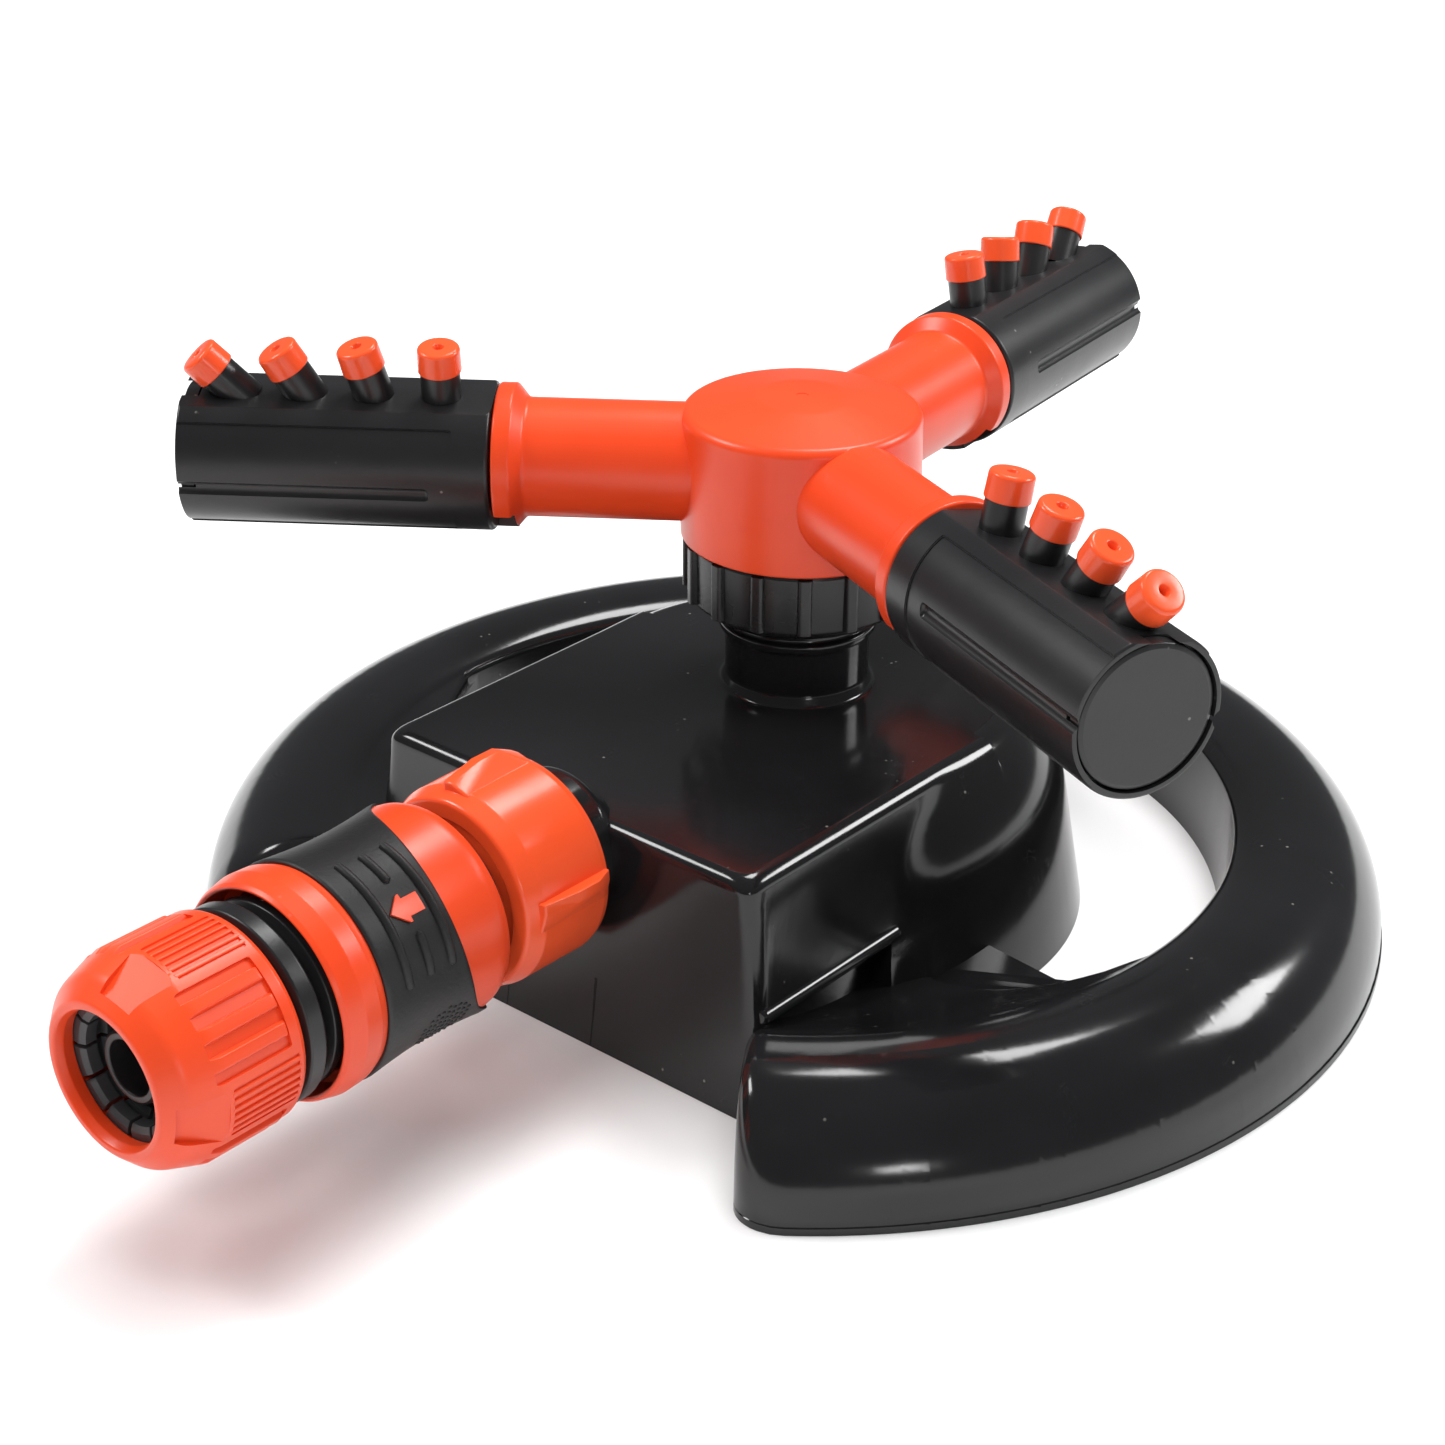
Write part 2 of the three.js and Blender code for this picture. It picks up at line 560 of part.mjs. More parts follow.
function hoseNut() {
  const { start, end, radius, mouth, bore } = HOSE_NUT;
  const body = turned(
    [[bore, start], [radius - 0.7, start], [radius - 0.2, start + 0.7], [radius - 0.2, 146],
      [radius - 1.2, 149], [radius - 3.4, 151.8], [radius - 5, end], [mouth + 0.5, end],
      [mouth, end - 0.8], [mouth, 152.2], [11.9, 150.6], [11.9, 142.4], [bore, 141.4]], 20);
  const ribs = [];
  for (let groupIndex = 0; groupIndex < 4; groupIndex += 1) {
    for (let i = -1; i <= 1; i += 1) {
      const angle = rad(groupIndex * 90 + i * 15);
      ribs.push(box(1.6, 2, 16, radius - 0.7, 0, 139.6, (geometry) => geometry.rotateZ(angle)));
    }
  }
  return join(body, ...ribs);
}
place(line, 'hose_nut', hoseNut(), orange());

export default group;
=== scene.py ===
# %% [markdown]
# # A three-arm lawn sprinkler, finished in Blender
# The frame holds every piece where the design put it, in metres. This script gives each piece that
# can be seen its moulded shape and its plastic, and leaves the frame's own pieces where they are.
# It could all be modelled by hand, but a script keeps every size in one place and can be rerun when
# the frame changes.

# %% Load the frame
import json
import math

import bmesh
import bpy
from mathutils import Matrix, Vector


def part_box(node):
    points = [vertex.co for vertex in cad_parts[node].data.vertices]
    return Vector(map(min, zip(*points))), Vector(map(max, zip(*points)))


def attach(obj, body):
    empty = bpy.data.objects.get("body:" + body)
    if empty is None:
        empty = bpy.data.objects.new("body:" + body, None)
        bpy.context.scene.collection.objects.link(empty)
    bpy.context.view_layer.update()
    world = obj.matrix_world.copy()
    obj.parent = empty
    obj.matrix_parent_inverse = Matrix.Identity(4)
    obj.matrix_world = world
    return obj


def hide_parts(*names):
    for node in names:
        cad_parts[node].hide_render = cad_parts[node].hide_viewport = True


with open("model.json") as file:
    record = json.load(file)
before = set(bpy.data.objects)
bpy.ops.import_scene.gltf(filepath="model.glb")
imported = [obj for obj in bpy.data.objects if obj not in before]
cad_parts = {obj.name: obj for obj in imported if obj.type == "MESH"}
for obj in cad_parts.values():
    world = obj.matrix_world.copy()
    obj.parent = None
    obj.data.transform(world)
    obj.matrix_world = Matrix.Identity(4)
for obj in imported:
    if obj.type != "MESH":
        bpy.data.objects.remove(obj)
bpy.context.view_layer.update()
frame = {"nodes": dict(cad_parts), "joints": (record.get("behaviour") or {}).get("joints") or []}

# %% [markdown]
# ## Where things are
# Moulded plastic is drawn in millimetres, so the shapes below are too, and each one is scaled to
# metres when it is put in its place. The places come from the frame: the heights and headings of
# the arms from their joints, and the lengths of the pieces from their boxes.

# %% Places from the frame
MM = 0.001
joints = {joint["name"]: joint for joint in frame["joints"]}
ARM_HEIGHT = joints["barrel_1_turn"]["pos_m"][2] / MM
LINE_HEIGHT = joints["connector_swivel"]["pos_m"][2] / MM
HEADINGS = []
for number in (1, 2, 3):
    axis = joints[f"barrel_{number}_turn"]["axis"]
    HEADINGS.append(math.atan2(axis[1], axis[0]))
BARREL_TILT = math.radians(10)


def span(node, axis):
    """A node's lowest and highest place along X, Y or Z, in millimetres."""
    low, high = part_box(node)
    return low[axis] / MM, high[axis] / MM


def along_line(node):
    """Where a node starts and ends on the connector's line, as distances from the spin axis."""
    low, high = span(node, 1)
    return -high, -low


def laid(heading, height, roll=0.0):
    """Lays a shape that was modelled along +Z, with +Y up, along a heading."""
    turn = Matrix.Rotation(heading + math.pi / 2, 4, "Z") @ Matrix.Rotation(math.pi / 2, 4, "X")
    return Matrix.Translation((0, 0, height)) @ turn @ Matrix.Rotation(roll, 4, "Z")


ON_LINE = laid(-math.pi / 2, LINE_HEIGHT)
UPRIGHT = Matrix.Identity(4)
print("arm headings", [round(math.degrees(h), 1) for h in HEADINGS], "arm height", round(ARM_HEIGHT, 1))

# %% [markdown]
# ## Camera
# A long lens from above the right front corner, about half a metre away. A long lens keeps
# the near barrel and the far one about the same size, as in a catalogue picture.

# %% Camera
EYE = Vector((0.2774, -0.3481, 0.2608))
LOOK_AT = Vector((-0.0099, -0.0084, 0.0320))
CAMERA_ROLL = math.radians(0.466)
camera_data = bpy.data.cameras.new("camera")
camera_data.lens = 69.84
camera_data.sensor_width = 36
camera_data.clip_start = 0.01
camera = bpy.data.objects.new("camera", camera_data)
facing = (LOOK_AT - EYE).to_track_quat("-Z", "Y").to_matrix().to_4x4()
camera.matrix_world = Matrix.Translation(EYE) @ facing @ Matrix.Rotation(CAMERA_ROLL, 4, "Z")
bpy.context.scene.collection.objects.link(camera)
bpy.context.scene.camera = camera
bpy.context.scene.view_settings.view_transform = "Standard"
print("camera distance in metres", round((LOOK_AT - EYE).length, 3))

# %% [markdown]
# ## Light
# A product table under a large soft box. Glossy black shows almost nothing but what it reflects, so
# the two boxes that only light the table and the front are hidden from reflections. Smaller boxes
# stand where the edges of the housing and the crest of the ring mirror them towards the camera. A
# sky image would be quicker to set up, but its reflections can't be moved one at a time.


# %% Soft boxes and world
def soft_box(name, place, aim, width, height, watts):
    data = bpy.data.lights.new(name, "AREA")
    data.shape = "RECTANGLE"
    data.size = width
    data.size_y = height
    data.energy = watts
    lamp = bpy.data.objects.new(name, data)
    lamp.location = place
    lamp.rotation_euler = (Vector(aim) - Vector(place)).to_track_quat("-Z", "Y").to_euler()
    bpy.context.scene.collection.objects.link(lamp)
    return lamp


table_light = soft_box("table_box", (-0.05, 0.10, 1.7), (0, 0, 0.05), 1.4, 1.4, 26.0)
fill_light = soft_box("front_box", (0.45, -0.95, 0.95), (0, -0.03, 0.04), 0.30, 0.30, 4.0)
for unseen in (table_light, fill_light):
    unseen.visible_glossy = False
soft_box("top_box", (-0.12, 0.45, 0.95), (0, 0, 0.05), 0.30, 0.30, 4.0)
soft_box("left_box", (-0.58, -0.38, 0.74), (0, 0, 0.04), 0.30, 0.24, 3.6)
soft_box("right_box", (0.52, 0.68, 0.58), (0, 0, 0.04), 0.34, 0.24, 4.4)
soft_box("window_box", (0.95, -0.60, 0.24), (0.05, -0.05, 0.02), 0.13, 0.10, 0.7)

world = bpy.data.worlds.new("studio")
bpy.context.scene.world = world
world.use_nodes = True
sky = world.node_tree.nodes["Background"]
sky.inputs["Color"].default_value = (0.9, 0.92, 0.95, 1)
sky.inputs["Strength"].default_value = 0.16
print("soft boxes:", len(bpy.data.lights))

# %% [markdown]
# ## Shader maths
# Procedural plastic needs a good deal of arithmetic on masks. A small class wraps a socket so
# that the arithmetic reads as arithmetic, and one method adds any other node.


# %% Socket and material helpers
class Wire:
    """A number's socket in a material. Arithmetic on wires adds Math nodes."""

    def __init__(self, shader, socket):
        self.shader = shader
        self.socket = socket

    def maths(self, operation, first, second=0.0):
        return self.shader.node("ShaderNodeMath", {"operation": operation}, {0: first, 1: second})

    def __add__(self, other):
        return self.maths("ADD", self, other)

    __radd__ = __add__

    def __sub__(self, other):
        return self.maths("SUBTRACT", self, other)

    def __rsub__(self, other):
        return self.maths("SUBTRACT", other, self)

    def __mul__(self, other):
        return self.maths("MULTIPLY", self, other)

    __rmul__ = __mul__

    def size(self):
        return self.maths("ABSOLUTE", self)

    def above(self, low, high):
        """0 below low and 1 above high, smooth between."""
        settings = {"interpolation_type": "SMOOTHSTEP"}
        return self.shader.node("ShaderNodeMapRange", settings, {"Value": self, 1: low, 2: high})


class Shader:
    """A material with a Principled shader, and the nodes that feed it."""

    def __init__(self, name):
        self.material = bpy.data.materials.new(name)
        self.material.use_nodes = True
        self.tree = self.material.node_tree
        self.surface = self.tree.nodes["Principled BSDF"]
        self.place = self.node("ShaderNodeTexCoord", {}, {}, "Object")

    def node(self, kind, settings, inputs, output=0):
        made = self.tree.nodes.new(kind)
        for key, value in settings.items():
            setattr(made, key, value)
        for key, value in inputs.items():
            if isinstance(value, Wire):
                self.tree.links.new(value.socket, made.inputs[key])
            else:
                made.inputs[key].default_value = value
        return Wire(self, made.outputs[output])

    def feed(self, **values):
        for key, value in values.items():
            socket = self.surface.inputs[key.replace("_", " ")]
            if isinstance(value, Wire):
                self.tree.links.new(value.socket, socket)
            else:
                socket.default_value = value

    def noise(self, scale, detail=3.0, stretch=(1, 1, 1), roughness=0.5):
        place = self.node("ShaderNodeMapping", {}, {"Vector": self.place, "Scale": stretch})
        return self.node("ShaderNodeTexNoise", {}, {
            "Vector": place, "Scale": scale, "Detail": detail, "Roughness": roughness})

    def mix(self, amount, first, second):
        return self.node("ShaderNodeMix", {"data_type": "RGBA"}, {0: amount, 6: first, 7: second}, 2)

    def bump(self, height, strength, distance):
        normal = self.node("ShaderNodeBump", {}, {
            "Height": height, "Strength": strength, "Distance": distance})
        self.feed(Normal=normal)


print("shader helpers ready")

# %% [markdown]
# ## Plastics
# Ten finishes: glossy black for the base, satin black for the barrels and fittings, soft black for
# the sleeve's cover, a black of its own for the collar nut, orange for the mouldings and a shinier
# orange for the nozzle tips and the tap nut, grey and white acetal, seal rubber and spring wire.
# All share the same ageing: faint flow marks from the mould, an uneven gloss, hairline scratches
# and a few specks of dust. Only the amounts differ, so one function makes them all. Painted image
# textures would do it too, but noise needs no unwrapping and stays sharp close up.


# %% Plastic finishes
SCRATCH_WIDTH = 0.006
DUST_COLOUR = (0.34, 0.32, 0.29, 1)
PLASTIC_IOR = 1.49


def plastic(name, colour, deep, gloss, uneven, grain=0.0, dust=0.0, scratches=0.0):
    """A plastic between two tones. Gloss is its roughness, uneven how much that wanders."""
    shader = Shader(name)
    flow = shader.noise(22, 4, (1, 1, 2.2))
    fine = shader.noise(160, 3)
    tone = shader.mix(flow.above(0.35, 0.7), (*colour, 1), (*deep, 1))
    specks = shader.node("ShaderNodeTexVoronoi", {"feature": "F1"}, {
        "Vector": shader.place, "Scale": 420.0, "Randomness": 1.0})
    sparse = shader.noise(95, 2).above(0.62, 0.70)
    dusty = (1 - specks.above(0.06, 0.14)) * sparse
    hair = shader.noise(30, 5, (26, 1.3, 3), 0.65)
    crossed = shader.noise(27, 5, (1.4, 22, 3), 0.65)
    hairlines = (1 - (hair - 0.5).size().above(0.0, SCRATCH_WIDTH)) * sparse
    crosslines = (1 - (crossed - 0.5).size().above(0.0, SCRATCH_WIDTH - 0.001)) * sparse
    worn = hairlines + crosslines
    shader.feed(
        Base_Color=shader.mix(dusty * dust, tone, DUST_COLOUR),
        Roughness=(flow - 0.5) * uneven + (fine - 0.5) * (uneven * 0.6) + worn * scratches + gloss,
        IOR=PLASTIC_IOR,
    )
    shader.bump(fine * (1 - grain) + shader.noise(1500, 2) * grain, 0.12 + 0.5 * grain, 0.0002)
    return shader.material


BASE_BLACK = plastic("glossy_black", (0.0075, 0.0075, 0.008), (0.011, 0.011, 0.012), 0.13, 0.10,
                     dust=0.5, scratches=0.2)
SATIN_BLACK = plastic("satin_black", (0.011, 0.011, 0.012), (0.016, 0.016, 0.017), 0.34, 0.12,
                      grain=0.25, dust=0.5, scratches=0.15)
SOFT_BLACK = plastic("soft_black", (0.009, 0.009, 0.0095), (0.013, 0.013, 0.0135), 0.50, 0.10,
                     grain=0.6, dust=0.3)
COLLAR_BLACK = plastic("collar_black", (0.009, 0.009, 0.0095), (0.014, 0.014, 0.015), 0.28, 0.16,
                       grain=0.2, dust=0.4, scratches=0.1)
ORANGE = plastic("orange_moulding", (0.78, 0.058, 0.012), (0.84, 0.072, 0.016), 0.33, 0.08,
                 dust=0.12, scratches=0.08)
TIP_ORANGE = plastic("orange_tip", (0.86, 0.085, 0.022), (0.90, 0.10, 0.026), 0.24, 0.08, dust=0.1)
GREY_ACETAL = plastic("grey_acetal", (0.035, 0.038, 0.04), (0.05, 0.054, 0.057), 0.38, 0.1)
WHITE_ACETAL = plastic("white_acetal", (0.72, 0.70, 0.64), (0.78, 0.76, 0.70), 0.35, 0.1)
SEAL_RUBBER = plastic("seal_rubber", (0.012, 0.012, 0.012), (0.02, 0.02, 0.02), 0.6, 0.1, grain=0.5)
SPRING_WIRE = plastic("spring_wire", (0.55, 0.56, 0.58), (0.48, 0.49, 0.51), 0.25, 0.1)
SPRING_WIRE.node_tree.nodes["Principled BSDF"].inputs["Metallic"].default_value = 1.0
print("finishes:", len(bpy.data.materials))

# %% [markdown]
# ## Shapes
# Almost every piece of the sprinkler is turned, so the main tool is a profile swept round an axis.
# A moulded part has no knife edges: the profile carries a radius at each corner, and the corner
# becomes an arc before it is turned. Holes, ribs and branches are then joined or cut with the
# Boolean modifier, whose Manifold solver keeps closed shells closed.


# %% Profiles and solids
ARC_STEPS = 5
TURN_STEPS = 144


def rounded(corners, closed=False):
    """Replaces each corner (x, y, radius) of an outline with an arc. A plain (x, y) stays sharp."""
    points = []
    count = len(corners)
    for i, corner in enumerate(corners):
        here = Vector(corner[:2])
        radius = corner[2] if len(corner) > 2 else 0
        if radius == 0 or (not closed and i in (0, count - 1)):
            points.append(here)
            continue
        before = Vector(corners[i - 1][:2]) - here
        after = Vector(corners[(i + 1) % count][:2]) - here
        half = before.angle(after) / 2
        reach = min(radius / math.tan(half), before.length * 0.49, after.length * 0.49)
        start = here + before.normalized() * reach
        end = here + after.normalized() * reach
        centre = here + (before.normalized() + after.normalized()).normalized() * (reach / math.cos(half))
        from_centre = start - centre
        sweep = from_centre.angle_signed(end - centre)
        for step in range(ARC_STEPS + 1):
            turn = Matrix.Rotation(-sweep * step / ARC_STEPS, 2)
            points.append(centre + turn @ from_centre)
    return [tuple(p) for p in points]


def new_object(name, bm):
    """Makes an object of a closed shape, with its faces turned outwards."""
    bmesh.ops.remove_doubles(bm, verts=bm.verts, dist=1e-5)
    bmesh.ops.recalc_face_normals(bm, faces=bm.faces)
    mesh = bpy.data.meshes.new(name)
    bm.to_mesh(mesh)
    bm.free()
    obj = bpy.data.objects.new(name, mesh)
    bpy.context.scene.collection.objects.link(obj)
    return obj


def grid_shell(name, rows, wrap_rows=False):
    """Joins rows of points into a skin. A row with one point is a pole."""
    bm = bmesh.new()
    made = [[bm.verts.new(p) for p in row] for row in rows]
    pairs = list(zip(made, made[1:]))
    if wrap_rows:
        pairs.append((made[-1], made[0]))
    for upper, lower in pairs:
        longest = max(len(upper), len(lower))
        for k in range(longest):
            n = (k + 1) % longest
            ring = [upper[k % len(upper)], upper[n % len(upper)],
                    lower[n % len(lower)], lower[k % len(lower)]]
            corners = list(dict.fromkeys(ring))
            if len(corners) > 2:
                bm.faces.new(corners)
    return new_object(name, bm)


def turned(name, corners, steps=TURN_STEPS):
    """A profile of (radius, height, fillet) turned about Z. Off the axis it closes on itself."""
    on_axis = corners[0][0] == 0 and corners[-1][0] == 0
    rows = []
    for radius, height in rounded(corners, closed=not on_axis):
        if radius < 1e-6:
            rows.append([(0, 0, height)])
            continue
        angles = [2 * math.pi * k / steps for k in range(steps)]
        rows.append([(radius * math.cos(a), radius * math.sin(a), height) for a in angles])
    return grid_shell(name, rows, wrap_rows=not on_axis)


def rod(name, radius, low, high, steps):
    """A plain cylinder along Z."""
    return turned(name, [(0, low), (radius, low), (radius, high), (0, high)], steps)


def polar(radius, degrees, z=0):
    """A point at a radius and an angle round Z."""
    return radius * math.cos(math.radians(degrees)), radius * math.sin(math.radians(degrees)), z


def arc_band(outer, inner, middle, half, steps):
    """The outline of a flat band that follows a circle for half an angle either side of its middle."""
    outline = []
    for radius, order in ((outer, range(steps + 1)), (inner, range(steps, -1, -1))):
        for k in order:
            outline.append(polar(radius, middle - half + 2 * half * k / steps)[:2])
    return outline


def prism(name, outline, low, high):
    """A flat outline raised from one height to another."""
    bm = bmesh.new()
    bottom = [bm.verts.new((x, y, low)) for x, y in outline]
    top = [bm.verts.new((x, y, high)) for x, y in outline]
    bm.faces.new(bottom)
    bm.faces.new(top)
    for k in range(len(outline)):
        n = (k + 1) % len(outline)
        bm.faces.new((bottom[k], bottom[n], top[n], top[k]))
    return new_object(name, bm)


def moved(obj, matrix):
    obj.data.transform(matrix)
    return obj


def baked(obj):
    """Applies an object's modifiers to its mesh."""
    graph = bpy.context.evaluated_depsgraph_get()
    mesh = bpy.data.meshes.new_from_object(obj.evaluated_get(graph))
    obj.modifiers.clear()
    old = obj.data
    obj.data = mesh
    bpy.data.meshes.remove(old)
    return obj


def combine(operation, obj, tools):
    """Joins tools to a solid or cuts them from it, and uses them up."""
    for tool in tools:
        step = obj.modifiers.new("shape", "BOOLEAN")
        step.operation = operation
        step.solver = "MANIFOLD"
        step.object = tool
    baked(obj)
    for tool in tools:
        bpy.data.objects.remove(tool)
    return obj


def joined(obj, *tools):
    return combine("UNION", obj, tools)


def cut(obj, *tools):
    return combine("DIFFERENCE", obj, tools)


pieces_made = []


def finish_piece(obj, name, matrix, material, body, nodes=(), smooth=35):
    """Puts a finished shape in its place in metres, smooths it, and hands it to its body. It stands for
    the nodes, or, as extra detail, only takes the finish of the node it is like."""
    obj.name = name
    obj.data.transform(Matrix.Scale(MM, 4) @ matrix)
    obj.data.shade_smooth()
    obj.data.set_sharp_from_angle(angle=math.radians(smooth))
    weigh = obj.modifiers.new("even_shading", "WEIGHTED_NORMAL")
    weigh.keep_sharp = True
    baked(obj)
    obj.data.materials.clear()
    obj.data.materials.append(material)
    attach(obj, body)
    if nodes:
        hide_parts(*nodes)
    pieces_made.append((name, len(obj.data.polygons)))
    return obj


print("shape helpers ready, round pieces have", TURN_STEPS, "sides")

# %% [markdown]
# ## Repeats
# Ribs, grooves and fingers repeat round an axis. A small Geometry Nodes tree takes one of them and
# sets copies of it round Z, in groups, so a five-rib field that comes back every quarter turn is
# one call. The copies are made real inside the tree and turned into a plain mesh afterwards.


# %% A Geometry Nodes tree that copies a shape round an axis
def build_ring_tree():
    tree = bpy.data.node_groups.new("copies_round_axis", "GeometryNodeTree")
    sockets = {}
    wanted = (("Shape", "NodeSocketObject"), ("Groups", "NodeSocketInt"), ("Per Group", "NodeSocketInt"),
              ("Pitch", "NodeSocketFloat"), ("Start", "NodeSocketFloat"))
    tree.interface.new_socket("Geometry", in_out="OUTPUT", socket_type="NodeSocketGeometry")
    for name, kind in wanted:
        sockets[name] = tree.interface.new_socket(name, in_out="INPUT", socket_type=kind).identifier
    add = tree.nodes.new
    link = tree.links.new
    given = add("NodeGroupInput")
    result = add("NodeGroupOutput")

    def maths(operation, first, second):
        made = add("ShaderNodeMath")
        made.operation = operation
        for slot, value in enumerate((first, second)):
            if isinstance(value, (int, float)):
                made.inputs[slot].default_value = value
            else:
                link(value, made.inputs[slot])
        return made.outputs[0]

    index = add("GeometryNodeInputIndex").outputs[0]
    per_group = given.outputs["Per Group"]
    group = maths("FLOOR", maths("DIVIDE", index, per_group), 0)
    member = maths("MODULO", index, per_group)
    from_middle = maths("SUBTRACT", member, maths("DIVIDE", maths("SUBTRACT", per_group, 1), 2))
    group_turn = maths("DIVIDE", maths("MULTIPLY", group, 2 * math.pi), given.outputs["Groups"])
    turn = maths("ADD", maths("ADD", group_turn, maths("MULTIPLY", from_middle, given.outputs["Pitch"])),
                 given.outputs["Start"])
    spin = add("ShaderNodeCombineXYZ")
    link(turn, spin.inputs["Z"])
    points = add("GeometryNodePoints")
    link(maths("MULTIPLY", given.outputs["Groups"], per_group), points.inputs["Count"])
    shape = add("GeometryNodeObjectInfo")
    link(given.outputs["Shape"], shape.inputs["Object"])
    copies = add("GeometryNodeInstanceOnPoints")
    link(points.outputs[0], copies.inputs["Points"])
    link(shape.outputs["Geometry"], copies.inputs["Instance"])
    link(spin.outputs[0], copies.inputs["Rotation"])
    real = add("GeometryNodeRealizeInstances")
    link(copies.outputs[0], real.inputs[0])
    link(real.outputs[0], result.inputs[0])
    return tree, sockets


ring_tree, ring_sockets = build_ring_tree()


def copies_round(shape, groups, per_group=1, pitch=0.0, start=0.0):
    """One mesh of copies of a shape round Z. Angles are in degrees; the shape is used up."""
    holder = bpy.data.objects.new("copies", bpy.data.meshes.new("copies"))
    bpy.context.scene.collection.objects.link(holder)
    step = holder.modifiers.new("copies", "NODES")
    step.node_group = ring_tree
    values = {"Shape": shape, "Groups": groups, "Per Group": per_group, "Pitch": math.radians(pitch),
              "Start": math.radians(start)}
    for name, value in values.items():
        step[ring_sockets[name]] = value
    baked(holder)
    bpy.data.objects.remove(shape)
    return holder


print("copies tree nodes:", len(ring_tree.nodes))

# %% [markdown]
# ## The base moulding
# One shell: a domed ring, two webs, the square housing, a round tub behind it, the riser that the
# head turns on and a round boss for the inlet. Each is a solid, all are joined, and the same
# shapes a wall's thickness smaller are cut from below, as the mould's core does. A Solidify modifier
# could hollow it too, but a core gives the even walls and open foot of a real moulding.

# %% Base sizes
WALL = 2.5
RING_OUTER = span("base_shell", 0)[1]
RING_INNER, RING_CREST, RING_HEIGHT, RING_LIP = 77.4, 88.5, 20.6, 0.3
RING_END, RING_END_EDGE, RING_END_CORNER, RING_BACK = 56, 2.4, 7, 92
WEB_FOOT, WEB_EDGE = 8, 2.4
WEB_ENDS = [(30, 27), (46, 25), (51, 23.5), (58, 20.5), (63, 18.5), (68, 16), (72.5, 12.5), (76, 8),
            (79, 1.5), (110, -2)]
BLOCK_TOP, BLOCK_HALF, BLOCK_FRONT, FRONT_SPREAD = 41.2, 40.3, 61.5, 3.3
BLOCK_EDGE, BLOCK_CORNER, BLOCK_FOOT_CORNER, BLOCK_BACK, SIDE_DRAFT = 2.4, 2.9, 0.8, 3, 0.145
TUB_FOOT, TUB_SHOULDER, TUB_RIM, SHOULDER_HEIGHT = 52.6, 48.4, 38.6, 23.4
LEDGE, RECESS_HALF, RECESS_OUT, RECESS_FRONT, RECESS_BACK = 18, 40, 46, 59.5, 28
RISER_TOP = span("base_shell", 2)[1]
print("ring outer radius", round(RING_OUTER, 1), "riser top", round(RISER_TOP, 1))

# %% [markdown]
# ## Ring and webs
# The ring is a domed channel with its two ends cut square beside the hose. The webs tie it to the
# housing: each has the ring's outer side, and sinks from the crest to the housing's foot. Both are
# one section swept round the axis. A web's free edge curves forward as it leaves the ring, so the
# end of its sweep is a heading that depends on the radius.


# %% Ring and web
def ring_section(offset, floor):
    """The ring's section as (radius, height), from the inner foot over the crest to the outer foot."""
    inner_top = RING_INNER + 1.2 + offset
    wall_top = RING_HEIGHT - 3.6 - offset
    outer = RING_OUTER - RING_LIP - offset
    section = [(RING_INNER + offset, floor), (RING_INNER + 0.6 + offset, wall_top / 2)]
    for step in range(9):
        angle = math.pi / 2 * step / 8
        section.append((RING_CREST - (RING_CREST - inner_top) * math.cos(angle),
                        wall_top + 3.6 * math.sin(angle)))
    for step in range(1, 19):
        angle = math.pi / 2 * step / 18
        section.append((RING_CREST + (outer - RING_CREST) * math.sin(angle),
                        1.3 + (RING_HEIGHT - 1.3 - offset) * math.cos(angle)))
    if offset == 0:
        section += [(RING_OUTER - 0.08, 1.2), (RING_OUTER, 1.0)]
        outer = RING_OUTER
    section.append((outer, floor))
    return section


def web_section(offset, floor):
    """The web rises from the housing's foot to the ring's crest and shares the ring's outer side."""
    low = WEB_FOOT - offset
    rise = RING_HEIGHT - WEB_FOOT
    section = [(30, floor), (30, low)]
    for step in range(24):
        t = step / 24
        section.append((46 + (RING_CREST - 46) * t, low + rise * t ** 2.35 * (3 - 2 * t)))
    return section + ring_section(offset, floor)[10:]


def round_over(radius, distance):
    """How far an edge of this radius has dropped at a distance from its end."""
    if distance >= radius:
        return 0
    return radius - math.sqrt(radius * radius - (radius - distance) ** 2)


def between(table, place):
    """Reads a table of (place, value) between its entries."""
    for (a, low), (b, high) in zip(table, table[1:]):
        if place <= b:
            return low + (high - low) * max(place - a, 0) / (b - a)
    return table[-1][1]


def capped(name, levels):
    """Closed outlines stacked bottom to top, with flat ends."""
    bm = bmesh.new()
    made = [[bm.verts.new(p) for p in row] for row in levels]
    count = len(levels[0])
    for lower, upper in zip(made, made[1:]):
        for k in range(count):
            n = (k + 1) % count
            bm.faces.new((lower[k], lower[n], upper[n], upper[k]))
    bm.faces.new(made[0])
    bm.faces.new(made[-1])
    return new_object(name, bm)


NEAR_ROWS = (0, 0.12, 0.5, 1.1, 1.8, 2.6, 3.6, 5.2, RING_END_CORNER)
FAR_ROWS = (1, 0.75, 0.5, 0.3, 0.16, 0.07, 0.02, 0)
SWEEP_ROWS = 60


